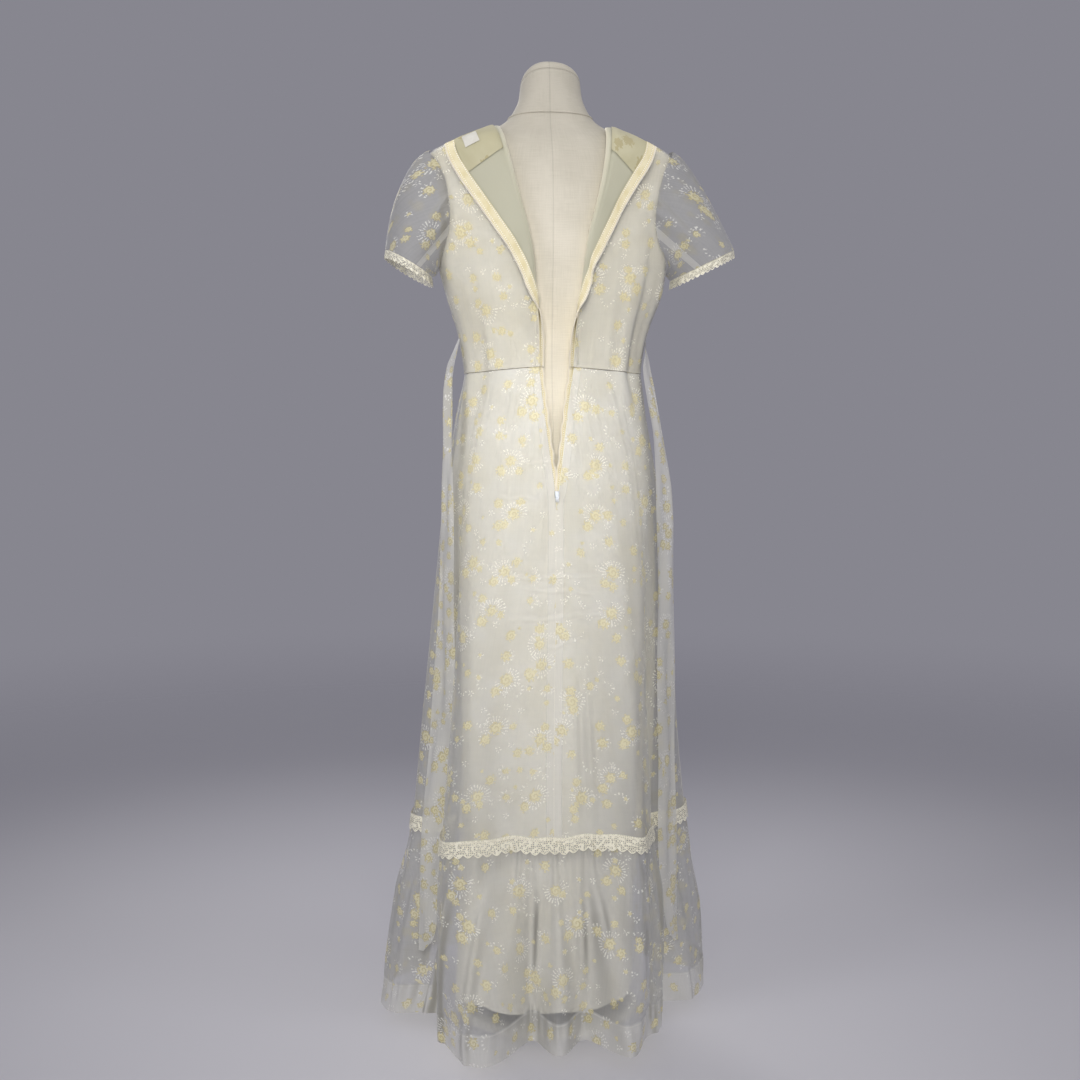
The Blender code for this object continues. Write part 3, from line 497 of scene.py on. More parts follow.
def bodice_radius(theta: np.ndarray, height: np.ndarray) -> np.ndarray:
    """The bodice's section, with its soft folds.

    Args:
        theta: angle round the axis.
        height: the section's height.

    Returns:
        The distance from the axis.
    """
    radius = form_oval(theta, height, [column(EASE, side, height) for side in SIDES])
    share = np.clip((BUST - height) / (BUST - WAIST), 0, 1)
    fade = np.clip((FOLDS_TOP - height) / 0.06, 0, 1)
    for angle, wide, waist, bust in zip(*BODICE_FOLDS.values()):
        depth = (waist * share + bust * (1 - share)) * fade
        radius = radius + depth * bulge(theta, angle, wide)
    return radius


def bodice_creased(theta: np.ndarray, height: np.ndarray) -> np.ndarray:
    """The bodice's section with its small creases too.

    Args:
        theta: angle round the axis.
        height: the section's height.

    Returns:
        The distance from the axis.
    """
    radius = bodice_radius(theta, height)
    for angle, top, low, wide, depth in zip(*BODICE_CREASES.values()):
        fade = ease_in(low - 0.02, low + 0.015, height) * (1 - ease_in(top - 0.10, top, height))
        radius = radius + depth * fade * bulge(theta, angle, wide)
    return radius


def skirt_radius(theta: np.ndarray, height: np.ndarray) -> np.ndarray:
    """The skirt's section, with its large folds.

    Args:
        theta: angle round the axis.
        height: the section's height.

    Returns:
        The distance from the axis.
    """
    radius = section(SKIRT, theta, height)
    levels = np.array([HEM_LEVEL, LACE_SEAM, SLIDER_LEVEL, WAIST])
    for hip_at, lace_at, hem_at, wide, hip, lace, hem in zip(*FOLDS.values()):
        middle = smooth(levels, np.array([hem_at, lace_at, hip_at, hip_at]), height)
        depth = smooth(levels, np.array([hem, lace, hip, 0]), height)
        radius = radius + depth * bulge(theta, middle, wide)
    return radius


def skirt_creased(theta: np.ndarray, height: np.ndarray) -> np.ndarray:
    """The skirt's section with its long creases and the creases of its storage.

    Args:
        theta: angle round the axis.
        height: the section's height.

    Returns:
        The distance from the axis.
    """
    radius = skirt_radius(theta, height) + carried_folds(theta, height)
    for top_angle, low_angle, top, low, wide, depth in zip(*SKIRT_CREASES.values()):
        share = np.clip((top - height) / (top - low), 0, 1)
        angle = top_angle + (low_angle - top_angle) * share
        reach = 1 - ease_in(0.72, 1.0, share) if low > DIES_AWAY \
            else ease_in(LACE_SEAM, LACE_SEAM + 0.05, height)
        start = 0.035 if top > LONG_CREASE else 0.16
        fade = reach * (1 - ease_in(top + 0.005 - start, top + 0.005, height))
        radius = radius + depth * fade * bulge(theta, angle, wide * (1 + share))
    degrees = np.degrees(theta)
    for level, wide, start, end, slope, depth in zip(*CROSS_CREASES.values()):
        along = (degrees - start) / (end - start)
        ends = ease_in(0.0, 0.22, along) * (1 - ease_in(0.75, 1.0, along))
        line = level + slope * (along - 0.5) + 0.0015 * np.sin(along * 13)
        off = (height - line) / wide
        ridge = 0.55 * np.exp(-off ** 2) - 0.30 * np.exp(-((off - 2.2) / 1.6) ** 2)
        radius = radius + depth * ends * ridge
    return radius


def lining_radius(theta: np.ndarray, height: np.ndarray) -> np.ndarray:
    """The skirt lining's section."""
    return section(SKIRT_LINING, theta, height)


def lining_creased(theta: np.ndarray, height: np.ndarray) -> np.ndarray:
    """The skirt lining's section with shallow folds that deepen towards its hem.

    Args:
        theta: angle round the axis.
        height: the section's height.

    Returns:
        The distance from the axis.
    """
    share = np.clip((0.80 - height) / 0.72, 0, 1)
    wave = np.sin(9 * theta + 1.1) + 0.7 * np.sin(14 * theta - 0.6) + 0.5 * np.sin(23 * theta + 2.0)
    radius = lining_radius(theta, height) + carried_folds(theta, height) + wave * 0.0016 * share
    for angle, wide, hip, middle, lace, hem in zip(*LINING_FLARES.values()):
        depth = smooth(np.array([LINING_HEM, 0.20, LACE_SEAM, 0.55, 0.74, 0.85]),
                       np.array([hem, hem * 0.5, lace, middle, hip, 0]), height)
        radius = radius + depth * bulge(theta, angle, wide)
    return radius


def around(theta: np.ndarray, radius: np.ndarray, height: np.ndarray) -> np.ndarray:
    """Points from angles, radii and heights."""
    theta, radius, height = np.broadcast_arrays(theta, radius, height)
    return np.stack([radius * np.cos(theta), radius * np.sin(theta), height], -1)


def dipped(points: np.ndarray) -> np.ndarray:
    """Lowers the waist seam at the sides, and the cloth less and less above and below it.

    Args:
        points: a grid round the form.

    Returns:
        The same grid, with its heights changed.
    """
    height = points[..., 2]
    radius = np.hypot(points[..., 0], points[..., 1])
    above, below = 1 - ease_in(WAIST, DIP_TOP, height), ease_in(DIP_LOW, WAIST, height)
    near = np.where(height > WAIST, above, below)
    made = points.copy()
    made[..., 2] -= WAIST_DIP * (points[..., 0] / radius) ** 2 * near
    return made


def angle_at(radius_of: RadiusOf, x: np.ndarray, height: np.ndarray) -> np.ndarray:
    """The angles on the back half at which sections reach x.

    Args:
        radius_of: the sections.
        x: how far across, one for each height.
        height: the sections' heights.

    Returns:
        The angles, between -pi and 0.
    """
    x, height = np.broadcast_arrays(np.asarray(x, float), np.asarray(height, float))
    low, high = np.full(x.shape, -math.pi), np.zeros(x.shape)
    for _ in range(34):     # halvings, down to far less than a hair
        middle = (low + high) / 2
        short = radius_of(middle, height) * np.cos(middle) < x
        low, high = np.where(short, middle, low), np.where(short, high, middle)
    return (low + high) / 2


def grid_normals(points: np.ndarray, closed: bool = False) -> np.ndarray:
    """Unit normals of a grid of points.

    Args:
        points: rows by columns by 3.
        closed: whether the last column meets the first.

    Returns:
        A normal for each point.
    """
    across = np.gradient(points, axis=1)
    if closed:
        across = np.roll(points, -1, 1) - np.roll(points, 1, 1)
    normals = np.cross(across, np.gradient(points, axis=0))
    return normals / np.maximum(np.linalg.norm(normals, axis=-1, keepdims=True), 1e-12)


def moved(points: np.ndarray, distance: float) -> np.ndarray:
    """The same grid, moved along its own normals."""
    return points + grid_normals(points) * distance


def linear(hex_colour: str) -> tuple[float, ...]:
    """An sRGB hex colour as linear numbers.

    Args:
        hex_colour: the colour.

    Returns:
        Red, green, blue and a full alpha.
    """
    values = [int(hex_colour.lstrip("#")[i:i + 2], 16) / 255 for i in (0, 2, 4)]
    return *(v / 12.92 if v <= 0.04045 else ((v + 0.055) / 1.055) ** 2.4 for v in values), 1.0


def feed(made: bpy.types.Node, inputs: Sequence[object] | dict[int | str, object]) -> None:
    """Links or sets a node's inputs.

    Args:
        made: the node.
        inputs: a socket to link or a value to set for each input, in order or by name or number.
    """
    for key, value in (inputs if isinstance(inputs, dict) else dict(enumerate(inputs))).items():
        if isinstance(value, Socket):
            made.id_data.links.new(value, made.inputs[key])
        else:
            made.inputs[key].default_value = value


def node(tree: Tree, kind: str, inputs: Sequence[object] | dict[int | str, object] = (),
         output: int | str = 0, stops: Sequence[tuple[float, str]] = (),
         **settings: object) -> Socket:
    """Adds one node, with its settings and its links or values.

    Args:
        tree: the node tree.
        kind: the node's type, without the ShaderNode in front.
        inputs: as in feed.
        output: which of its outputs is wanted.
        stops: a colour ramp's stops, each a place and an sRGB hex colour.
        settings: the node's own properties.

    Returns:
        The output. Its node has the others.
    """
    made = tree.nodes.new("ShaderNode" + kind)
    for name, value in settings.items():
        setattr(made, name, value)
    feed(made, inputs)
    for i, (place, colour) in enumerate(stops):
        made.color_ramp.elements[i].position = place
        made.color_ramp.elements[i].color = linear(colour)
    return made.outputs[output]


def bare_finish(name: str) -> tuple[Finish, Tree, bpy.types.Node]:
    """A new material.

    Args:
        name: the material's name.

    Returns:
        The material, its nodes and its shader.
    """
    material = bpy.data.materials.new(name)
    material.use_nodes = True
    return material, material.node_tree, material.node_tree.nodes["Principled BSDF"]


@dataclass(frozen=True)
class Flowers:
    """The roller print of yellow roses with white petals, sized in metres on the flat cloth.
    seed moves it over the cloth, and crowd sets the flowers closer."""

    seed: float = 0.0
    crowd: float = 1.0

    def cell(self, tree: Tree, place: Socket, size: float, spread: float,
             shift: tuple[float, float]) -> tuple[Socket, ...]:
        """One flower in each cell of a loose net.

        Args:
            tree: the material's nodes.
            place: the point on the flat cloth, in metres.
            size: the cells' size.
            spread: how far the flowers stray from a plain net, from 0 to 1.
            shift: moves the net, so that two nets don't fall together.

        Returns:
            The point measured from its flower, its distance, its angle and two random numbers.
        """
        by = (shift[0] + self.seed, shift[1] + self.seed * 0.37, 0)
        shifted = node(tree, "VectorMath", [place, by], operation="ADD")
        net = node(tree, "TexVoronoi", {"Vector": shifted, "Scale": self.crowd / size,
            "Randomness": spread}, voronoi_dimensions="2D")
        middle = net.node.outputs["Position"]
        local = node(tree, "VectorMath", [shifted, middle], operation="SUBTRACT")
        distance = node(tree, "VectorMath", [local], output="Value", operation="LENGTH")
        parts = node(tree, "SeparateXYZ", [local])
        chance = node(tree, "SeparateColor", [net.node.outputs["Color"]])
        turned = node(tree, "Math", [parts.node.outputs[1], parts], operation="ARCTAN2")
        return local, distance, turned, chance, chance.node.outputs[1]

    def rose(self, tree: Tree, distance: Socket, turned: Socket, chance: Socket, crumbs: Socket,
             small: float, large: float, drop: float) -> tuple[Socket, Socket]:
        """A round rose with a ragged edge and a darker outline.

        Args:
            tree: the material's nodes.
            distance, turned, chance: from cell.
            crumbs: a fine noise that tears the edge.
            small, large: the least and the greatest radius.
            drop: the share of the cells that stay bare.

        Returns:
            Where the rose is, and its tone from the dark outline at 0 to the light petals at 1.
        """
        radius = node(tree, "MapRange", [chance, drop, 1.0, small, large])
        lobes = node(tree, "Math", [turned, 7.0, chance], operation="MULTIPLY_ADD")
        waved = node(tree, "Math", [lobes], operation="SINE")
        share = node(tree, "Math", [waved, 0.1, 1.0], operation="MULTIPLY_ADD")
        edge = node(tree, "Math", [radius, share], operation="MULTIPLY")
        inward = node(tree, "Math", [distance, edge], operation="DIVIDE")
        torn = node(tree, "Math", [crumbs, 0.9, inward], operation="MULTIPLY_ADD")
        mask = node(tree, "MapRange", [torn, 1.22, 1.46, 1.0, 0.0])
        there = node(tree, "Math", [chance, drop], operation="GREATER_THAN")
        mask = node(tree, "Math", [mask, there], operation="MULTIPLY")
        spiral = node(tree, "Math", [inward, 12.0, turned], operation="MULTIPLY_ADD")
        rings = node(tree, "Math", [spiral], operation="SINE")
        inner = node(tree, "MapRange", [rings, -0.9, 0.1, 0.2, 1.0])
        outline = node(tree, "MapRange", [inward, 0.66, 0.9, 1.0, 0.3])
        tone = node(tree, "Math", [inner, outline], operation="MULTIPLY")
        return mask, tone

    def petals(self, tree: Tree, distance: Socket, turned: Socket, chance: Socket, gaps: Socket,
               count: int, start: float, end: float, drop: float, fan: float) -> Socket:
        """Narrow white petals that stand out from a flower.

        Args:
            tree: the material's nodes.
            distance, turned, chance: from cell.
            gaps: 0 where the petals are broken.
            count: petals in a full turn.
            start, end: the radii between which they lie.
            drop: the share of the cells that stay bare.
            fan: from -1, all round, to 1, none: how wide a fan they make.

        Returns:
            Where the petals are.
        """
        across = node(tree, "Math", [turned, float(count)], operation="MULTIPLY")
        wave = node(tree, "Math", [across], operation="COSINE")
        blade = node(tree, "MapRange", [wave, -0.15, 0.55])
        blade = node(tree, "Math", [blade, gaps], operation="MULTIPLY")
        near = node(tree, "MapRange", [distance, start, start + 0.8 * MM])
        uneven = node(tree, "Math", [turned, 3.0, chance], operation="MULTIPLY_ADD")
        longer = node(tree, "Math", [uneven], operation="SINE")
        tip = node(tree, "Math", [longer, (end - start) * 0.18, end], operation="MULTIPLY_ADD")
        beyond = node(tree, "Math", [distance, tip], operation="LESS_THAN")
        aim = node(tree, "Math", [chance, 23.0, turned], operation="MULTIPLY_ADD")
        aimed = node(tree, "Math", [aim], operation="COSINE")
        fanned = node(tree, "MapRange", [aimed, fan, fan + 0.25])
        there = node(tree, "Math", [chance, drop], operation="GREATER_THAN")
        for share in (near, beyond, fanned, there):
            blade = node(tree, "Math", [blade, share], operation="MULTIPLY")
        return blade

    def build(self, tree: Tree, place: Socket) -> tuple[Socket, ...]:
        """The whole print.

        Args:
            tree: the material's nodes.
            place: the point on the flat cloth, in metres.

        Returns:
            Where roses are, where white petals are, and the roses' tone.
        """
        crumbs = node(tree, "TexNoise", {"Vector": place, "Scale": 330.0, "Detail": 0.0},
            noise_dimensions="2D")
        gaps = node(tree, "MapRange", [crumbs, 0.4, 0.5])
        local, far, turned, one, two = self.cell(tree, place, 0.084, 0.7, (0.31, 0.17))
        large, tone = self.rose(tree, far, turned, one, crumbs, 8.5 * MM, 11.5 * MM, 0.10)
        burst = self.petals(tree, far, turned, one, gaps, 23, 10 * MM, 20 * MM, 0.10, -0.80)
        offset = node(tree, "VectorMath", [local, (0.014, 0.016, 0)], operation="ADD")
        parts = node(tree, "SeparateXYZ", [offset])
        beside = node(tree, "VectorMath", [offset], output="Value", operation="LENGTH")
        angle = node(tree, "Math", [parts.node.outputs[1], parts], operation="ARCTAN2")
        second, tone_two = self.rose(tree, beside, angle, two, crumbs, 7.5 * MM, 9.5 * MM, 0.30)

        _, far, turned, one, two = self.cell(tree, place, 0.042, 0.75, (0.0, 0.0))
        middle, tone_three = self.rose(tree, far, turned, one, crumbs, 5.5 * MM, 8.6 * MM, 0.28)
        sprig = self.petals(tree, far, turned, two, gaps, 11, 7.5 * MM, 12.5 * MM, 0.50, -0.2)

        _, far, turned, one, two = self.cell(tree, place, 0.027, 0.9, (0.07, 0.05))
        dot, tone_four = self.rose(tree, far, turned, one, crumbs, 2.6 * MM, 5.0 * MM, 0.78)
        floret = self.petals(tree, far, turned, two, gaps, 5, 0.6 * MM, 5.0 * MM, 0.55, -2.0)

        merged = []
        for first, *others in ((large, second, middle, dot), (burst, sprig, floret),
                               (tone, tone_two, tone_three, tone_four)):
            for other in others:
                first = node(tree, "Math", [first, other], operation="MAXIMUM")
            merged.append(first)
        return tuple(merged)


@dataclass(frozen=True)
class Organza:
    """Printed organza: crisp, fine and sheer, woven plain from thin hard threads, so the eye
    sees a cool grey veil with opaque printed flowers, and more white where it lies double."""

    name: str = "printed_organza"
    ground: str = "#b3b3b2"
    turned_in: str = "#cbcac5"
    # painted shade where a fold turns edge on
    fold_shade: str = "#97958d"
    rose_light: str = "#dcd5b0"
    rose_dark: str = "#b0a372"
    petal: str = "#e2e1da"
    single: float = 0.50        # how opaque one layer is
    doubled: float = 0.68       # and two
    dense: float = 0.46         # how much more where a fold turns edge on
    slub: float = 3.1 * MM
    slub_length: float = 0.055
    warp: float = 3.2 * MM
    warp_length: float = 0.12
    seed: float = 0.0
    crowd: float = 1.0

    def build(self) -> Finish:
        """The nodes: ground, print, opacity and painted shade where a fold turns edge on.

        Returns:
            The material.
        """
        material, tree, shader = bare_finish(self.name)
        place = node(tree, "UVMap", uv_map="cloth")
        roses, white, shade = Flowers(self.seed, self.crowd).build(tree, place)

        # Uneven weft threads, drawn ten times as coarse as they are so that they show.
        stretched = node(tree, "Mapping", {"Vector": place,
            "Scale": (1 / self.slub_length, 1 / self.slub, 1.0)})
        slubs = node(tree, "TexNoise", {"Vector": stretched, "Scale": 1.0, "Detail": 2.0,
            "Roughness": 0.6}, noise_dimensions="2D")
        upright = node(tree, "Mapping", {"Vector": place,
            "Scale": (1 / self.warp, 1 / self.warp_length, 1.0)})
        warps = node(tree, "TexNoise", {"Vector": upright, "Scale": 1.0, "Detail": 1.0},
            noise_dimensions="2D")
        weave = node(tree, "Math", [slubs, 0.65, warps], operation="MULTIPLY_ADD")

        edge = node(tree, "Attribute", output="Fac", attribute_name="layers")
        twice = node(tree, "MapRange", [edge, 0.97, 1.03, 1.0, 0.0])
        opacity = node(tree, "MapRange", [twice, 0.0, 1.0, self.single, self.doubled])
        near = node(tree, "Math", [edge, 0.99], operation="SUBTRACT")
        near = node(tree, "Math", [near], operation="ABSOLUTE")
        sewn = node(tree, "MapRange", [near, 0.03, 0.07, 0.2, 0.0])
        opacity = node(tree, "Math", [opacity, sewn], operation="ADD")
        thread = node(tree, "MapRange", [weave, 0.45, 1.15, -0.03, 0.03])
        opacity = node(tree, "Math", [opacity, thread], operation="ADD")
        folded = node(tree, "Attribute", output="Fac", attribute_name="folded")
        opacity = node(tree, "Math", [folded, self.dense, opacity], operation="MULTIPLY_ADD")
        printed = node(tree, "Math", [roses, white], operation="MAXIMUM")
        ink = node(tree, "Math", [printed, 0.76], operation="MULTIPLY")
        alpha = node(tree, "Math", [opacity, ink], operation="MAXIMUM", use_clamp=True)

        yellow = node(tree, "Mix", {0: shade, 6: linear(self.rose_dark),
            7: linear(self.rose_light)}, output=2, data_type="RGBA")
        light = node(tree, "Math", [twice, sewn], operation="MAXIMUM")
        colour = node(tree, "Mix", {0: light, 6: linear(self.ground), 7: linear(self.turned_in)},
            output=2, data_type="RGBA")
        # Over the ground: painted shade where a fold turns edge on, then the white petals and the
        # roses.
        for share, over in ((folded, linear(self.fold_shade)), (white, linear(self.petal)),
                            (roses, yellow)):
            colour = node(tree, "Mix", {0: share, 6: colour, 7: over}, output=2, data_type="RGBA")
        bump = node(tree, "Bump", {"Strength": 0.05, "Distance": 0.3 * MM, "Height": weave})
        feed(shader, {"Roughness": 0.62, "Sheen Weight": 0.18, "Sheen Roughness": 0.4,
                      "Alpha": alpha, "Base Color": colour, "Normal": bump})
        return material


@dataclass(frozen=True)
class Satin:
    """Acetate satin lining: long floats give it a soft wide gloss and a warm cream colour, with
    faint crossing creases."""

    name: str = "satin_lining"
    light: str = "#f3f0e3"
    dark: str = "#e9e4d0"
    rose: str = "#d3c691"
    lapel_colour: str = "#d2cfb8"
    roughness: float = 0.52
    print_through: float = 0.0

    def build(self) -> Finish:
        """The nodes: mottled colour, gloss and soft creases.

        Returns:
            The material.
        """
        material, tree, shader = bare_finish(self.name)
        place = node(tree, "UVMap", uv_map="cloth")
        broad = node(tree, "TexNoise", {"Vector": place, "Scale": 16.0, "Detail": 3.0,
            "Distortion": 0.4}, noise_dimensions="2D")
        colour = node(tree, "ValToRGB", [broad], stops=[(0.3, self.dark), (0.7, self.light)])
        if self.print_through:
            roses, _, _ = Flowers(0.43).build(tree, place)
            faint = node(tree, "Math", [roses, self.print_through], operation="MULTIPLY")
            colour = node(tree, "Mix", {0: faint, 6: colour, 7: linear(self.rose)}, output=2,
                data_type="RGBA")
        # A darker colour where the lining turns back as the lapel.
        edge = node(tree, "Attribute", output="Fac", attribute_name="layers")
        lapel = node(tree, "MapRange", [edge, 0.0, 1.0, 1.0, 0.0])
        colour = node(tree, "Mix", {0: lapel, 6: colour, 7: linear(self.lapel_colour)}, output=2,
            data_type="RGBA")
        threads = node(tree, "Mapping", {"Vector": place,
            "Scale": (1 / (0.9 * MM), 1 / (7 * MM), 1.0)})
        floats = node(tree, "TexNoise", {"Vector": threads, "Scale": 1.0}, noise_dimensions="2D")
        rough = node(tree, "MapRange", [floats, 0.0, 1.0, self.roughness - 0.06,
            self.roughness + 0.06])
        height = node(tree, "Math", [broad, 6.0, floats], operation="MULTIPLY_ADD")
        bump = node(tree, "Bump", {"Strength": 0.25, "Distance": 0.5 * MM, "Height": height})
        feed(shader, {"Sheen Weight": 0.25, "Base Color": colour, "Roughness": rough,
                      "Normal": bump})
        return material


@dataclass(frozen=True)
class Lace:
    """Cotton lace edging: a net of twisted threads with thicker scallops, so the eye sees ivory
    with small dark gaps and a beaded lower edge."""

    name: str = "cotton_lace"
    light: str = "#efebd8"
    dark: str = "#cdc5a8"
    depth: float = 26 * MM
    scallop: float = 15 * MM
    mesh: float = 2.9 * MM

    def build(self) -> Finish:
        """The nodes: net, scallops, holes and thread bump.

        Returns:
            The material.
        """
        material, tree, shader = bare_finish(self.name)
        place = node(tree, "UVMap", uv_map="cloth")
        parts = node(tree, "SeparateXYZ", [place])
        down = node(tree, "Math", [parts.node.outputs[1], self.depth], operation="DIVIDE")
        turn = node(tree, "Math", [parts, math.pi / self.scallop], operation="MULTIPLY")
        wave = node(tree, "Math", [turn], operation="SINE")
        arch = node(tree, "Math", [wave], operation="ABSOLUTE")
        limit = node(tree, "Math", [arch, 0.19, 0.8], operation="MULTIPLY_ADD")
        spare = node(tree, "Math", [limit, down], operation="SUBTRACT")
        inside = node(tree, "Math", [spare, 0.0], operation="GREATER_THAN")
        rim = node(tree, "MapRange", [spare, 0.05, 0.09, 1.0, 0.0])

        net = node(tree, "TexVoronoi", {"Vector": place, "Scale": 1 / self.mesh,
            "Randomness": 0.55}, voronoi_dimensions="2D", feature="DISTANCE_TO_EDGE")
        thread = node(tree, "MapRange", [net, 0.13, 0.22, 1.0, 0.0])
        blot = node(tree, "TexNoise", {"Vector": place, "Scale": 210.0, "Detail": 1.0},
            noise_dimensions="2D")
        motif = node(tree, "MapRange", [blot, 0.51, 0.57])
        head = node(tree, "MapRange", [down, 0.14, 0.24, 0.62, 0.0])
        solid = thread
        for other in (motif, rim, head):
            solid = node(tree, "Math", [solid, other], operation="MAXIMUM")
        shown = node(tree, "MapRange", [solid, 0.0, 1.0, 0.22, 0.97])
        alpha = node(tree, "Math", [shown, inside], operation="MULTIPLY")
        colour = node(tree, "ValToRGB", [solid], stops=[(0.2, self.dark), (0.9, self.light)])
        bump = node(tree, "Bump", {"Strength": 0.7, "Distance": 0.8 * MM, "Height": solid})
        feed(shader, {"Roughness": 0.85, "Alpha": alpha, "Base Color": colour, "Normal": bump})
        return material


@dataclass(frozen=True)
class Tape:
    """Woven cotton zip tape: a dense ribbed twill with a stitched line, matt and warm."""

    name: str = "zip_tape_twill"
    light: str = "#ece3c2"
    dark: str = "#dccf9f"
    rib: float = 1.7 * MM
    stitches: tuple[float, ...] = (-8.6 * MM, 1.2 * MM)
    stitch_length: float = 3.4 * MM
    thread: str = "#fbf7e8"
    # painted shade in the furrows between stitches
    furrow_shade: str = "#c2b287"

    def build(self) -> Finish:
        """The nodes: slanting ribs, and colour worn paler in places.

        Returns:
            The material.
        """
        material, tree, shader = bare_finish(self.name)
        place = node(tree, "UVMap", uv_map="cloth")
        slanted = node(tree, "Mapping", {"Vector": place, "Rotation": (0, 0, 0.9)})
        ribs = node(tree, "TexWave", {"Vector": slanted, "Scale": 0.314 / self.rib,
            "Distortion": 0.6}, output=1, wave_type="BANDS")
        worn = node(tree, "TexNoise", {"Vector": place, "Scale": 60.0, "Detail": 3.0},
            noise_dimensions="2D")
        mixed = node(tree, "Math", [ribs, 0.25, worn], operation="MULTIPLY_ADD")
        colour = node(tree, "ValToRGB", [mixed], stops=[(0.35, self.dark), (0.85, self.light)])
        parts = node(tree, "SeparateXYZ", [place])
        sewn = None
        for line in self.stitches:
            off = node(tree, "Math", [parts, line], operation="SUBTRACT")
            off = node(tree, "Math", [off], operation="ABSOLUTE")
            near = node(tree, "MapRange", [off, 0.45 * MM, 0.8 * MM, 1.0, 0.0])
            sewn = near if sewn is None else node(tree, "Math", [sewn, near], operation="MAXIMUM")
        if sewn is not None:
            run = node(tree, "Math", [parts.node.outputs[1], 2 * math.pi / self.stitch_length],
                operation="MULTIPLY")
            dash = node(tree, "Math", [run], operation="SINE")
            dash = node(tree, "MapRange", [dash, -0.8, -0.4])
            # The stitches are light thread, with painted shade in the furrows between them.
            stitch = node(tree, "Mix", {0: dash, 6: linear(self.furrow_shade), 7: linear(self.thread)},
                output=2, data_type="RGBA")
            colour = node(tree, "Mix", {0: sewn, 6: colour, 7: stitch}, output=2, data_type="RGBA")
        bump = node(tree, "Bump", {"Strength": 0.35, "Distance": 0.3 * MM, "Height": ribs})
        feed(shader, {"Roughness": 0.86, "Base Color": colour, "Normal": bump})
        return material


@dataclass(frozen=True)
class Linen:
    """Bleached linen stretched over the dress form: a plain weave with thick and thin threads,
    cream, with painted shade that darkens it towards the top."""

    name: str = "stretched_linen"
    light: str = "#faf3e1"
    dark: str = "#e9e2cf"
    thread: float = 1.5 * MM
    slub: float = 0.03        # how long a thick place in a thread is

    def build(self) -> Finish:
        """The nodes: crossed threads, soft soiling and painted shade towards the top.

        Returns:
            The material.
        """
        material, tree, shader = bare_finish(self.name)
        place = node(tree, "UVMap", uv_map="cloth")
        # Noise drawn out long and thin each way stands for the crossed threads.
        threads = []
        for long, wide in ((self.slub, self.thread), (self.thread, self.slub)):
            run = node(tree, "Mapping", {"Vector": place, "Scale": (1 / long, 1 / wide, 1)})
            threads.append(node(tree, "TexNoise", {"Vector": run, "Scale": 1.0, "Detail": 2.0},
                                noise_dimensions="2D"))
        weave = node(tree, "Math", threads, operation="ADD")
        soil = node(tree, "TexNoise", {"Vector": place, "Scale": 7.0, "Detail": 3.0},
            noise_dimensions="2D")
        mixed = node(tree, "Math", [weave, 0.35, soil], operation="MULTIPLY_ADD")
        colour = node(tree, "ValToRGB", [mixed], stops=[(0.62, self.dark), (1.0, self.light)])
        where = node(tree, "SeparateXYZ", [node(tree, "TexCoord", output="Object")])
        off = node(tree, "Math", [where], operation="ABSOLUTE")
        seam = node(tree, "MapRange", [off, 0.4 * MM, 1.3 * MM])
        shade = node(tree, "MapRange", [seam, 0.0, 1.0, 0.88, 1.0])
        # Painted shade: the colour darkens towards the top of the form.
        shaded_above = node(tree, "MapRange", [where.node.outputs[2], 1.08, 1.4, 1.0, 0.56])
        shade = node(tree, "Math", [shade, shaded_above], operation="MULTIPLY")
        colour = node(tree, "VectorMath", {0: colour, 3: shade}, operation="SCALE")
        height = node(tree, "Math", [seam, 2.2, weave], operation="MULTIPLY_ADD")
        bump = node(tree, "Bump", {"Strength": 0.3, "Distance": 0.35 * MM, "Height": height})
        feed(shader, {"Roughness": 0.82, "Sheen Weight": 0.15, "Base Color": colour,
                      "Normal": bump})
        return material


@dataclass(frozen=True)
class Nickel:
    """Nickel plate on the slider, its tab and the pole: a dull mirror with faint rub marks."""

    name: str = "nickel_plate"
    colour: str = "#b9bdc3"
    worn: str = "#9a9ea5"

    def build(self) -> Finish:
        """The nodes: plating rubbed a little uneven.

        Returns:
            The material.
        """
        material, tree, shader = bare_finish(self.name)
        place = node(tree, "TexCoord", output="Object")
        rub = node(tree, "TexNoise", {"Vector": place, "Scale": 420.0, "Detail": 3.0})
        rough = node(tree, "MapRange", [rub, 0.0, 1.0, 0.24, 0.46])
        tint = node(tree, "ValToRGB", [rub], stops=[(0.3, self.worn), (0.7, self.colour)])
        feed(shader, {"Metallic": 1.0, "Roughness": rough, "Base Color": tint})
        return material


@dataclass(frozen=True)
class Enamel:
    """Stove enamel on a spun steel base: smooth and pale with a slight orange-peel."""

    name: str = "pale_enamel"
    colour: str = "#d6d4cc"
    shade: str = "#ccc9c0"

    def build(self) -> Finish:
        """The nodes: even colour over a fine orange-peel.

        Returns:
            The material.
        """
        material, tree, shader = bare_finish(self.name)
        place = node(tree, "TexCoord", output="Object")
        peel = node(tree, "TexNoise", {"Vector": place, "Scale": 260.0, "Detail": 1.0})
        tint = node(tree, "ValToRGB", [peel], stops=[(0.3, self.shade), (0.7, self.colour)])
        bump = node(tree, "Bump", {"Strength": 0.12, "Distance": 0.2 * MM, "Height": peel})
        feed(shader, {"Roughness": 0.38, "Base Color": tint, "Normal": bump})
        return material


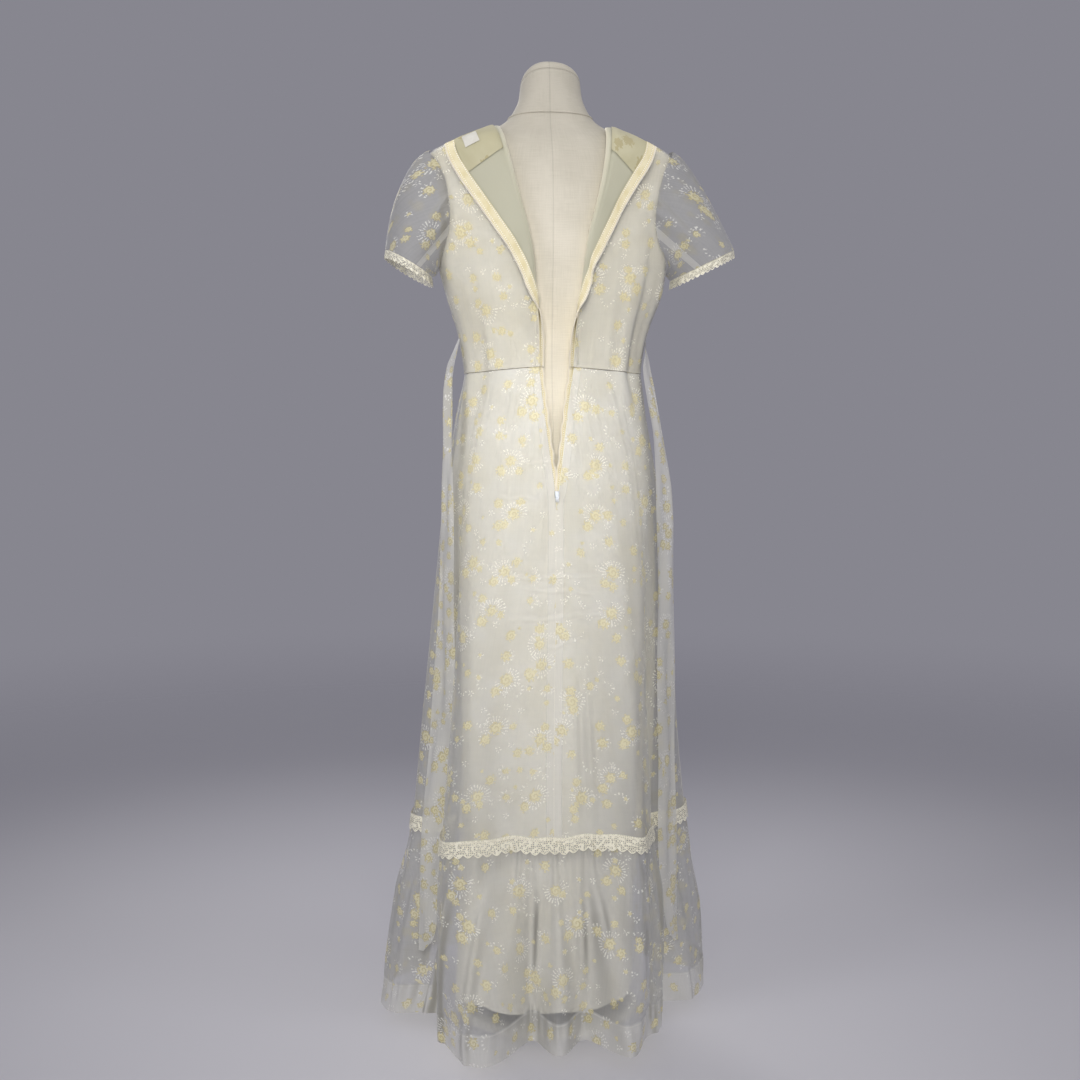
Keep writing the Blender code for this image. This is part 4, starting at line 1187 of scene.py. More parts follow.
@dataclass
class Wardrobe:
    """The finishes, each made once."""

    organza: Finish = field(default_factory=Organza().build)
    double_organza: Finish = field(default_factory=Organza(
        "doubled_organza", "#d2d1cb", fold_shade="#b5b3ab", single=0.66, doubled=0.8, seed=0.61,
        crowd=1.35).build)
    satin: Finish = field(default_factory=Satin().build)
    bodice_satin: Finish = field(default_factory=Satin(
        "bodice_satin", "#f5f0dc", "#ebe4ca", lapel_colour="#b3b19b").build)
    facing: Finish = field(default_factory=Satin(
        "neck_facing", "#c0bb9d", "#b3ad8c", "#a3966a", roughness=0.8, print_through=0.6).build)
    lace: Finish = field(default_factory=Lace().build)
    narrow_lace: Finish = field(default_factory=Lace(
        "narrow_lace", depth=14 * MM, scallop=9 * MM, mesh=2.6 * MM).build)
    tape: Finish = field(default_factory=Tape().build)
    coil: Finish = field(default_factory=Tape(
        "nylon_coil", "#fffaf0", "#f1e9d6", 3.0 * MM, ()).build)
    label: Finish = field(default_factory=Tape(
        "bare_ribbon_label", "#dddbd2", "#cfccc2", 1.4 * MM, ()).build)
    linen: Finish = field(default_factory=Linen().build)
    nickel: Finish = field(default_factory=Nickel().build)
    enamel: Finish = field(default_factory=Enamel().build)


def quads(rows: int, columns: int, closed: bool) -> np.ndarray:
    """The faces of a grid of points.

    Args:
        rows, columns: how many points there are each way.
        closed: whether the last column meets the first.

    Returns:
        Four point numbers for each face, row by row.
    """
    r, c = np.indices((rows - 1, columns if closed else columns - 1)).reshape(2, -1)
    n, here, below = (c + 1) % columns, r * columns, (r + 1) * columns
    return np.stack([here + c, here + n, below + n, below + c], 1)


def placed(name: str, mesh: bpy.types.Mesh, material: Finish) -> bpy.types.Object:
    """Puts a mesh into the scene as a piece that rides on the dress.

    Args:
        name: the piece's name.
        mesh: its mesh.
        material: its finish.

    Returns:
        The piece.
    """
    mesh.materials.append(material)
    piece = bpy.data.objects.new(name, mesh)
    bpy.context.scene.collection.objects.link(piece)
    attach(piece, BODY)
    return piece


@dataclass
class Cloth:
    """One piece of cloth on a grid of points, which stands for the solid of the same name."""

    name: str
    points: np.ndarray
    material: Finish
    slot: str
    closed: bool = False
    layers: np.ndarray | None = None
    top_down: bool = False
    shades: bool = True

    def flat(self) -> np.ndarray:
        """Lays the grid out flat.

        Returns:
            Metres along each row from its middle, and down.
        """
        grid = self.points
        if self.closed:
            grid = np.concatenate([grid, grid[:, :1]], 1)
        across = np.linalg.norm(np.diff(grid, axis=1), axis=2)
        u = np.concatenate([np.zeros((len(grid), 1)), np.cumsum(across, 1)], 1)
        u -= u[:, [u.shape[1] // 2]]
        down = np.linalg.norm(np.diff(grid, axis=0), axis=2).mean(1)
        v = np.concatenate([[0.0], np.cumsum(down)])
        if self.top_down:
            return np.stack([u, np.broadcast_to(v[:, None], u.shape)], -1)
        v = -v
        if self.points[0, -1, 0] < self.points[0, 0, 0]:
            u = -u
        u = u + PRINT_SHIFT * (sum(map(ord, self.name)) % PRINT_PLACES)
        return np.stack([u, np.broadcast_to(v[:, None], u.shape)], -1)

    def build(self, on: Sequence[str] = ("form_torso",),
              trims: Sequence[bpy.types.Object] = ()) -> None:
        """Makes the mesh, its flat coordinates and its finish.

        Args:
            on: the pieces it hangs from or lies on. Not used.
            trims: separate pieces on it. Not used.
        """
        rows, columns = self.points.shape[:2]
        faces = quads(rows, columns, self.closed)
        mesh = bpy.data.meshes.new(self.name)
        mesh.from_pydata(self.points.reshape(-1, 3).tolist(), [], faces.tolist())
        flat = self.flat()
        corners = np.stack([flat[:-1, :-1], flat[:-1, 1:], flat[1:, 1:], flat[1:, :-1]], 2)
        mesh.uv_layers.new(name="cloth").data.foreach_set(
            "uv", corners.reshape(-1).astype(np.float32))
        layers = np.full((rows, columns), SINGLE) if self.layers is None else self.layers
        for name, values in (("layers", layers), ("folded", self.folded())):
            mesh.attributes.new(name, "FLOAT", "POINT").data.foreach_set(
                "value", values.reshape(-1).astype(np.float32))
        mesh.shade_smooth()
        piece = placed(self.name + "_cloth", mesh, self.material)
        piece.visible_shadow = self.shades
        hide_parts(self.name)
        width, length = np.ptp(flat[..., 0], axis=1).max(), np.ptp(flat[..., 1])
        LOG.info("%s: %d faces, %.4f square metres, %.3f by %.3f m", piece.name, len(faces),
                 self.area(faces), width, length)

    def folded(self) -> np.ndarray:
        """How steeply the cloth turns away from its own broad form.

        Returns:
            0 to 1 at each point.
        """
        normals = grid_normals(self.points, self.closed)
        step = float(np.linalg.norm(np.diff(self.points, axis=1), axis=2).mean())
        reach = max(1, int(FOLD_WINDOW / step / 2))
        padded = np.pad(normals, ((0, 0), (reach, reach), (0, 0)),
                        mode="wrap" if self.closed else "edge")
        total = np.cumsum(np.concatenate([np.zeros((len(padded), 1, 3)), padded], 1), 1)
        broad = total[:, 2 * reach + 1:] - total[:, :-2 * reach - 1]
        broad /= np.linalg.norm(broad, axis=2, keepdims=True)
        made = np.clip((1 - (normals * broad).sum(2)) * FOLD_CONTRAST, 0, 1)
        for _ in range(2):
            made = (np.roll(made, 1, 1) + 2 * made + np.roll(made, -1, 1)) / 4
        return made

    def area(self, faces: np.ndarray) -> float:
        """The grid's area.

        Args:
            faces: its faces.

        Returns:
            Square metres.
        """
        points = self.points.reshape(-1, 3)
        a, b, d = points[faces[:, 0]], points[faces[:, 1]], points[faces[:, 3]]
        return float(np.linalg.norm(np.cross(b - a, d - a), axis=1).sum())


def armhole_start(height: np.ndarray) -> np.ndarray:
    """Where a bodice panel starts, wider at the armhole.

    Args:
        height: the rows' heights.

    Returns:
        The angle from the side seam.
    """
    middle = (ARMHOLE_TOP + ARMHOLE_BOTTOM) / 2
    share = (height - middle) / (ARMHOLE_TOP - middle)
    open_angle = ARMHOLE_HALF_ANGLE * np.sqrt(np.maximum(0.0, 1 - share ** 2))
    return open_angle + SEAM / bodice_radius(np.zeros_like(height), height)


def back_depth(x: np.ndarray, height: np.ndarray) -> np.ndarray:
    """How far back the bodice lies.

    Args:
        x: how far across, held short of the side.
        height: the heights there.

    Returns:
        y, which is less than 0.
    """
    side = np.where(x < 0, -math.pi, 0.0)
    reach = np.minimum(np.abs(x), BACK_REACH * bodice_radius(side, height)) * np.sign(x)
    angle = angle_at(bodice_radius, reach, height)
    return bodice_radius(angle, height) * np.sin(angle)


@dataclass
class BackBodice:
    """One back piece of the bodice, with its roll and the lapel that lies open on it."""

    side: int
    finishes: Wardrobe
    rows: int = 84
    panel: int = 44
    turn: int = 10
    lapel: int = 16

    @property
    def label(self) -> str:
        """The side's name."""
        return "left" if self.side < 0 else "right"

    @property
    def first(self) -> int:
        """The lapel's first column."""
        return self.panel + self.turn - 1

    def grid(self, heights: np.ndarray) -> np.ndarray:
        """The piece's panel, roll and lapel.

        Args:
            heights: the rows' heights.

        Returns:
            The grid.
        """
        h = heights[:, None]
        turned_to = column(OPENING, "turn", heights)
        roll = angle_at(bodice_creased, column(OPENING, "roll_" + self.label, heights), heights)
        start = -armhole_start(heights) if self.side > 0 else -math.pi + armhole_start(heights)
        theta = start[:, None] + (roll - start)[:, None] * np.linspace(0, 1, self.panel)
        flat = around(theta, bodice_creased(theta, h), h)
        radius = bodice_creased(roll, heights)[:, None]
        t = np.radians(turned_to)[:, None] * np.arange(1, self.turn + 1) / self.turn
        angle = roll[:, None] - self.side * ROLL_RADIUS * np.sin(t) / radius
        rolled = around(angle, radius + ROLL_RADIUS * (1 - np.cos(t)), h)
        edge_x = column(OPENING, "edge_" + self.label, heights)
        level = heights - column(OPENING, "fall", heights)
        lift = column(OPENING, "lift", heights)
        edge = np.stack([edge_x, back_depth(edge_x, level) - lift, level], -1)
        share = np.linspace(0, 1, self.lapel)[1:, None]
        laid = rolled[:, -1:] + (edge - rolled[:, -1])[:, None] * share
        clear = back_depth(laid[..., 0], laid[..., 2]) - lift[:, None]
        folded = ease_in(*LAID_OPEN, turned_to)[:, None]
        laid[..., 1] = laid[..., 1] * (1 - folded) + np.minimum(laid[..., 1], clear) * folded
        wave = 1.3 * np.sin(heights * 61 + self.side) \
            + 0.9 * np.sin(heights * 118 + 2.0 * self.side)
        laid[..., 1] -= (2.2 + wave)[:, None] * MM * share[None, :, 0] * folded * 0.55
        return np.concatenate([flat, rolled, laid], 1)

    def tape_points(self, inner: np.ndarray) -> list[list[np.ndarray]]:
        """The zip tape along the lapel's edge and down the skirt's opening.

        Args:
            inner: the grid under the facing.

        Returns:
            The tape's rows.
        """
        steps = (-TAPE_LAP, -TAPE_LAP / 2, 0.0, TAPE_EDGE / 2, TAPE_EDGE)
        rows = []
        for line in inner:
            run = (line[-1] - line[-2]) / np.linalg.norm(line[-1] - line[-2])
            rows.append([line[-1] + run * step for step in steps])
        for level in np.linspace(WAIST - 3 * SEAM, SLIDER_LEVEL + SEAM, 30):
            above = float(ease_in(SLIDER_LEVEL, 0.90, np.array(level)))
            ripple = 1.1 * MM * math.sin(level * 210 + self.side) * above
            across = float(column(BACK_SEAM, self.label, level)) + ripple
            edge = float(angle_at(lining_radius, np.array(across), np.array(level)))
            radius = float(lining_radius(np.array(edge), np.array(level))) - TAPE_DEPTH
            reach = min(TAPE_EDGE, abs(across - SLIDER_X) - SEAM)
            places = (TAPE_LAP, TAPE_LAP / 2, 0.0, -reach / 2, -reach)
            rows.append([around(np.array(edge + self.side * step / radius), np.array(radius),
                                np.array(level)) for step in places])
        return rows

    def coil(self, edge: np.ndarray, across: np.ndarray) -> bpy.types.Object:
        """The zip's coil along the tape's free edge, a bead at each turn.

        Args:
            edge: the points of the tape's free edge.
            across: unit vectors along the tape towards that edge.

        Returns:
            The coil, as one mesh.
        """
        run = np.concatenate([[0.0], np.cumsum(np.linalg.norm(np.diff(edge, axis=0), axis=1))])
        places = np.arange(1.5 * MM, run[-1] - 1 * MM, COIL_PITCH)
        made = bmesh.new()
        for place in places:
            middle, ahead, out = (
                Vector([float(np.interp(at, run, values[:, i])) for i in range(3)])
                for at, values in ((place, edge), (place + MM, edge), (place, across)))
            along = ahead - middle
            along.normalize()
            out = (out - along * out.dot(along)).normalized()
            up = along.cross(out)
            corners = []
            for a, b, c in ((-1, -1, -1), (1, -1, -1), (1, 1, -1), (-1, 1, -1),
                            (-1, -1, 1), (1, -1, 1), (1, 1, 1), (-1, 1, 1)):
                offset = out * (a * BEAD_LONG) + along * (b * BEAD_WIDE) + up * (c * BEAD_TALL)
                corners.append(made.verts.new(middle + offset))
            for face in ((0, 3, 2, 1), (4, 5, 6, 7), (0, 1, 5, 4), (1, 2, 6, 5), (2, 3, 7, 6),
                         (3, 0, 4, 7)):
                made.faces.new([corners[i] for i in face])
        bmesh.ops.recalc_face_normals(made, faces=made.faces)
        mesh = bpy.data.meshes.new("zip_coil_" + self.label)
        made.to_mesh(mesh)
        made.free()
        piece = placed("zip_coil_" + self.label, mesh, self.finishes.coil)
        LOG.info("%s: %d beads", piece.name, len(places))
        return piece

    def build(self) -> None:
        """Makes the organza, the lining, the facing, the zip tape with its coil and the label."""
        heights = np.linspace(NECK_POINT, WAIST + SEAM, self.rows)
        base = dipped(self.grid(heights))
        Cloth("bodice_back_" + self.label, moved(base, LAYER * self.side), self.finishes.organza,
              "organza", shades=False).build(["form_torso", "bodice_lining_back_" + self.label])
        first = self.first
        columns = np.arange(base.shape[1])
        turned = ease_in(first - self.turn, first, columns)[None] \
            * ease_in(1.10, 1.20, heights)[:, None]
        Cloth("bodice_lining_back_" + self.label, moved(base, -LAYER * self.side),
              self.finishes.bodice_satin, "lining", layers=1 - turned).build()
        inner = moved(base, -FACING_LAYER * self.side)
        faced = inner[heights >= FACING_LOW - 1e-6][:, first:-2]
        Cloth("neck_facing_" + self.label, faced, self.finishes.facing, "facing").build(
            ["bodice_lining_back_" + self.label])
        tape = np.array(self.tape_points(moved(base, -(FACING_LAYER + 0.5 * MM) * self.side)))
        across = tape[:, -1] - tape[:, -2]
        lengths = np.linalg.norm(across, axis=1, keepdims=True)
        coil = self.coil(tape[:, -1], across / np.maximum(lengths, 1e-9))
        Cloth("zip_tape_" + self.label, tape, self.finishes.tape, "tape", top_down=True).build(
            ["bodice_back_" + self.label, "skirt_back_" + self.label], [coil])
        if self.side < 0:
            self.label_patch()

    def label_patch(self) -> None:
        """The bare ribbon label on the facing."""
        heights = np.linspace(LABEL_TOP, LABEL_LOW, 8)
        laid = moved(self.grid(heights), -(FACING_LAYER + 1.0 * MM) * self.side)
        shares = np.linspace(0, 1, self.lapel)
        wanted = np.linspace(*LABEL_SPAN, 9)
        rows = [[[float(np.interp(w, shares, line[self.first:, i])) for i in range(3)]
                 for w in wanted] for line in laid]
        Cloth("neck_label", np.array(rows), self.finishes.label, "label").build(
            ["neck_facing_left"])


@dataclass
class FrontBodice:
    """The front of the bodice in one piece, lined, with a scooped neck."""

    finishes: Wardrobe
    rows: int = 80
    columns: int = 110

    def build(self) -> None:
        """Makes the organza and its lining."""
        heights = np.linspace(NECK_POINT, WAIST + SEAM, self.rows)
        gap = armhole_start(heights)[:, None]
        theta = gap + (math.pi - 2 * gap) * np.linspace(0, 1, self.columns)
        scoop = NECK_SCOOP * np.clip((heights - 1.33) / (NECK_POINT - 1.33), 0, 1)[:, None]
        level = heights[:, None] - scoop * np.sin(theta) ** 4
        base = dipped(around(theta, bodice_creased(theta, level), level))
        Cloth("bodice_front", moved(base, -LAYER), self.finishes.organza, "organza",
              shades=False).build(["form_torso", "bodice_lining_front"])
        Cloth("bodice_lining_front", moved(base, LAYER), self.finishes.bodice_satin,
              "lining").build()


@dataclass
class Skirt:
    """The long gored skirt over its satin lining, in three panels each."""

    finishes: Wardrobe
    rows: int = 160

    def panel(self, part: str, heights: np.ndarray, radius_of: RadiusOf, plain: RadiusOf,
              columns: int) -> np.ndarray:
        """The grid of one panel between its seams.

        Args:
            part: left, right or front.
            heights: the rows' heights.
            radius_of: the creased sections.
            plain: the sections that the seams follow.
            columns: points in each row.

        Returns:
            The grid.
        """
        gap = SEAM / plain(np.zeros_like(heights), heights)
        share = np.linspace(0, 1, columns)
        if part == "front":
            start, end = gap, math.pi - gap
        else:
            seam = angle_at(plain, column(BACK_SEAM, part, heights), heights)
            start, end = (gap - math.pi, seam) if part == "left" else (seam, -gap)
        theta = start[:, None] + (end - start)[:, None] * share
        return dipped(around(theta, radius_of(theta, heights[:, None]), heights[:, None]))

    def seam_share(self, grid: np.ndarray, allowance: float) -> np.ndarray:
        """How far the cloth lies from the nearer seam.

        Args:
            grid: the panel.
            allowance: the depth of the seam's allowance.

        Returns:
            The distance at each point, as a share of the allowance.
        """
        steps = np.linalg.norm(np.diff(grid, axis=1), axis=2)
        run = np.concatenate([np.zeros((len(grid), 1)), np.cumsum(steps, 1)], 1)
        return np.minimum(run, run[:, -1:] - run) / allowance

    def build(self) -> None:
        """Makes the three organza panels and the three lining panels."""
        top, low = WAIST - SEAM, LACE_SEAM + SEAM
        # The rows lie closest where the storage creases run.
        heights = np.concatenate([np.linspace(top, 0.91, 22)[:-1],
                                  np.linspace(0.91, 0.54, self.rows)[:-1],
                                  np.linspace(0.54, low, 34)])
        lining_heights = np.linspace(WAIST - SEAM, LINING_HEM, 96)
        for part in ("left", "right", "front"):
            name = "front" if part == "front" else "back_" + part
            columns = 300 if part == "front" else 150
            grid = self.panel(part, heights, skirt_creased, skirt_radius, columns)
            Cloth("skirt_" + name, grid, self.finishes.organza, "organza",
                  layers=self.seam_share(grid, SKIRT_ALLOWANCE), shades=False).build(
                ["form_torso", "skirt_lining_" + name])
            grid = self.panel(part, lining_heights, lining_creased, lining_radius, columns // 2)
            Cloth("skirt_lining_" + name, grid, self.finishes.satin, "lining").build()


@dataclass(frozen=True)
class Gathers:
    """The uneven gathers of one half of the flounce: no two the same width, depth or length."""

    first: float
    count: int = 44
    broad: int = 16
    seed: int = 7

    def height(self, theta: np.ndarray, share: np.ndarray) -> np.ndarray:
        """How far the gathers stand out.

        Args:
            theta: angle round the axis.
            share: 0 at the seam and 1 at the hem.

        Returns:
            The distance.
        """
        rng = np.random.default_rng(self.seed)
        pitch = math.pi / self.count
        total = np.zeros(np.broadcast(theta, share).shape)
        for k in range(self.count):
            middle = self.first + (k + 0.5 + rng.uniform(-0.30, 0.30)) * pitch
            wide = pitch * rng.uniform(0.26, 0.46)
            tall = GATHER_HEIGHT * rng.uniform(0.5, 1.25)
            reach = rng.choice([rng.uniform(0.18, 0.5), rng.uniform(0.6, 1.25)], p=[0.55, 0.45])
            lean = pitch * rng.uniform(-1.1, 1.1)
            fade = 1 - 0.92 * ease_in(0.35 * reach, reach, share)
            fade = fade * (1 - 0.35 * share)
            off = (theta - middle - lean * share) / (wide * (1 + 1.3 * share))
            total = total + tall * fade * np.exp(-off ** 2)
        pitch = math.pi / self.broad
        for k in range(self.broad):
            middle = self.first + (k + 0.5 + rng.uniform(-0.34, 0.34)) * pitch
            wide = pitch * rng.uniform(0.14, 0.32)
            tall = BROAD_FOLD * rng.uniform(0.35, 1.0)
            start, end = rng.uniform(0.0, 0.30), rng.uniform(0.25, 1.0)
            lean = pitch * rng.uniform(-0.5, 0.5)
            fade = ease_in(start, start + 0.30, share) * (1 - (1 - end) * ease_in(0.55, 1.0, share))
            total = total + tall * fade * np.exp(-((theta - middle - lean * share) / wide) ** 2)
        return total - GATHER_HEIGHT * 0.45 - BROAD_FOLD * 0.2 * share


@dataclass
class Flounce:
    """One half of the gathered flounce with its lace heading."""

    name: str
    first: float
    seed: int
    finishes: Wardrobe
    rows: int = 64
    columns: int = 620

    def build(self) -> None:
        """Makes the flounce and its lace."""
        gathers = Gathers(self.first, seed=self.seed)
        gap = SEAM / float(skirt_radius(np.array(0.0), np.array(LACE_SEAM)))
        theta = np.linspace(self.first + gap, self.first + math.pi - gap, self.columns)
        down = np.linspace(0, 1, self.rows)[:, None] ** 1.15
        height = (LACE_SEAM - SEAM) + (HEM_LEVEL - LACE_SEAM + SEAM) * down
        radius = skirt_radius(theta, height)
        plain = section(SKIRT, theta, height)
        drop = np.clip(radius - plain, -0.05, 0.07) * HEM_SWING * down
        level = height - drop + 0.0025 * np.sin(5 * theta + 1.0) * down ** 3
        # The cloth puckers along the stitching of the turned-up hem.
        pucker = 0.0012 * np.sin(theta * 96 + 6 * np.sin(theta * 7)) * ease_in(0.80, 0.86, down) \
            * (1 - ease_in(0.90, 0.98, down))
        grid = around(theta, radius + gathers.height(theta, down) + pucker, level)
        steps = np.linalg.norm(np.diff(grid, axis=0), axis=2)
        run = np.concatenate([np.zeros((1, self.columns)), np.cumsum(steps, 0)], 0)
        layers = (run[-1] - run) / HEM_TURN
        Cloth("ruffle_" + self.name, grid, self.finishes.organza, "organza", layers=layers,
              shades=False).build(
            ["skirt_back_left", "skirt_back_right"] if self.name == "back" else ["skirt_front"])

        line = around(theta, skirt_radius(theta, np.array(LACE_SEAM)), np.array(LACE_SEAM))
        across = np.gradient(line, axis=0)
        out = np.stack([across[:, 1], -across[:, 0], np.zeros(len(theta))], -1)
        out /= np.linalg.norm(out, axis=1, keepdims=True)
        ripple = 2.6 * MM * np.sin(theta * 9 + self.seed) + 1.5 * MM * np.sin(theta * 23 + 2.0)
        rows = []
        for share in np.linspace(0, 1, 9):
            lift = LACE_LIFT_TOP + (LACE_LIFT_LOW - LACE_LIFT_TOP) * share
            follow = 0.35 * gathers.height(theta, np.array(0.06)) * share
            row = line + out * (lift + follow)[:, None]
            row[:, 2] += LACE_ABOVE - (LACE_ABOVE + LACE_BELOW) * share + ripple
            rows.append(row)
        Cloth("ruffle_lace_" + self.name, np.array(rows), self.finishes.lace, "lace",
              top_down=True).build(["ruffle_" + self.name])


@dataclass
class Sleeve:
    """A short unlined sleeve, gathered at its head, with narrow lace at the hem."""

    index: int
    finishes: Wardrobe
    rows: int = 48
    columns: int = 260

    def loops(self, phi: np.ndarray) -> tuple[np.ndarray, np.ndarray]:
        """The sleeve's two ends.

        Args:
            phi: angles round the arm.

        Returns:
            The armhole's loop and the hem's.
        """
        row = {name: values[self.index] for name, values in SLEEVES.items()}
        middle = (ARMHOLE_TOP + ARMHOLE_BOTTOM) / 2
        tall = (ARMHOLE_TOP - ARMHOLE_BOTTOM) / 2
        level = middle + (tall + 0.002) * np.cos(phi)
        swing = (ARMHOLE_HALF_ANGLE + 0.02) * np.sin(phi)
        theta = -swing if row["side"] > 0 else math.pi + swing
        here = around(theta, bodice_radius(theta, level), level)
        turned = around(theta + 0.01, bodice_radius(theta + 0.01, level), level)
        raised = around(theta, bodice_radius(theta, level + 0.0005), level + 0.0005)
        normals = np.cross(turned - here, raised - here)
        normals /= np.linalg.norm(normals, axis=-1, keepdims=True)
        top = here + normals * SLEEVE_STAND_OFF
        tip = np.array([row["tip_x"], 0, row["tip_z"]])
        under = np.array([row["under_x"], 0, row["under_z"]])
        low = (tip + under) / 2 + np.multiply.outer(np.cos(phi), (tip - under) / 2) \
            + np.multiply.outer(np.sin(phi), np.array([0, -SLEEVE_HALF_DEPTH, 0]))
        return top, low

    def build(self) -> None:
        """Makes the sleeve and its lace."""
        side = float(SLEEVES["side"][self.index])
        label = "left" if side < 0 else "right"
        phi = np.arange(self.columns) / self.columns * 2 * math.pi
        top, low = self.loops(phi)
        ends_top, ends_low = self.loops(np.array([0.0, math.pi]))
        run = ends_low[0] - ends_top[0]
        push = np.array([-run[2], 0, run[0]])
        push = push / np.linalg.norm(push)
        push = push * (1 if push[2] > 0 else -1)
        directions = np.multiply.outer(np.cos(phi), push) \
            + np.multiply.outer(np.sin(phi), np.array([0, -1.0, 0]))
        upper = np.clip(np.cos(phi) + SLEEVE_CAP, 0, 1)
        rng = np.random.default_rng(31 + self.index)
        folds = [(rng.uniform(-1.75, 1.75), rng.uniform(0.05, 0.10), rng.uniform(0.5, 1.0),
                  rng.uniform(0.25, 1.1), rng.uniform(-0.12, 0.12)) for _ in range(22)]
        creases = [(rng.uniform(1.3, 5.0), rng.uniform(0.08, 0.16), rng.uniform(-0.0028, 0.0028),
                    rng.uniform(-0.3, 0.3)) for _ in range(9)]
        signed = (phi + math.pi) % (2 * math.pi) - math.pi
        grid = []
        for share in np.linspace(0, 1, self.rows):
            swell = float(SLEEVES["puff"][self.index]) * 2.6 * share ** 0.7 * (1 - share) * upper
            gather = np.zeros(self.columns)
            for middle, wide, tall, reach, lean in folds:
                fade = 1 - float(ease_in(0.25 * reach, reach, np.array(share)))
                gather += SLEEVE_GATHER_HEIGHT * tall * fade \
                    * np.exp(-((signed - middle - lean * share) / (wide * (1 + share))) ** 2)
            for middle, wide, depth, lean in creases:
                gather += depth * math.sin(math.pi * min(1.0, share * 1.25)) \
                    * np.exp(-((phi - middle - lean * share) / wide) ** 2)
            line = top + (low - top) * share
            grid.append(line + directions * (swell + gather)[:, None])
        grid = np.array(grid)
        reach = np.abs(phi - SLEEVE_SEAM_ANGLE) * SLEEVE_RADIUS / SLEEVE_ALLOWANCE
        layers = np.broadcast_to(np.minimum(reach, SINGLE), grid.shape[:2])
        Cloth("sleeve_" + label, grid, self.finishes.organza, "organza", closed=True,
              layers=layers).build(["form_torso", "bodice_back_" + label, "bodice_front"])

        spread = directions * 0
        spread += np.multiply.outer(np.cos(phi), (ends_low[0] - ends_low[1]) / 2)
        spread += np.multiply.outer(np.sin(phi), np.array([0, -SLEEVE_HALF_DEPTH, 0]))
        spread /= np.linalg.norm(spread, axis=1, keepdims=True)
        rows = []
        for share in np.linspace(0, 1, 7):
            row = grid[-1] + spread * (0.001 * share + 0.0012 * math.sin(math.pi * share / 2)
                                       * np.sin(phi * 17 + 2 * np.sin(phi * 3)))[:, None]
            row[:, 2] -= SEAM * 2 + SLEEVE_LACE_DEPTH * share
            rows.append(row)
        Cloth("sleeve_lace_" + label, np.array(rows), self.finishes.narrow_lace, "lace",
              closed=True, top_down=True).build(["sleeve_" + label])


@dataclass
class Tie:
    """A sash end that hangs from the side seam, of organza sewn double."""

    label: str
    rows_of: Table
    finishes: Wardrobe
    rows: int = 150
    columns: int = 17

    def build(self) -> None:
        """Makes the tie, with soft lengthwise folds and a slanted end."""
        heights = np.linspace(self.rows_of["height"].max(), self.rows_of["height"].min(), self.rows)
        outer, inner = (np.stack([column(self.rows_of, "x_" + edge, heights),
                                  column(self.rows_of, "y_" + edge, heights), heights], -1)
                        for edge in ("outer", "inner"))
        share = np.linspace(0, 1, self.columns)
        grid = outer[:, None] + (inner - outer)[:, None] * share[None, :, None]
        side = -1 if self.label == "left" else 1
        wave = np.sin(heights * 9 + side)[:, None] * np.sin(share * math.pi * 2)[None]
        wave = wave + 0.7 * np.sin(heights * 23 + 1.3)[:, None] \
            * np.sin(share * math.pi * 3 + 0.5)[None]
        ends = ease_in(0.13, 0.22, heights)[:, None] * (1 - ease_in(1.0, 1.08, heights))[:, None]
        grid[..., 0] += side * (0.0030 * wave + 0.002 * np.sin(share * math.pi)[None]) * ends
        Cloth("tie_" + self.label, grid, self.finishes.double_organza, "organza").build(
            ["bodice_back_" + self.label])


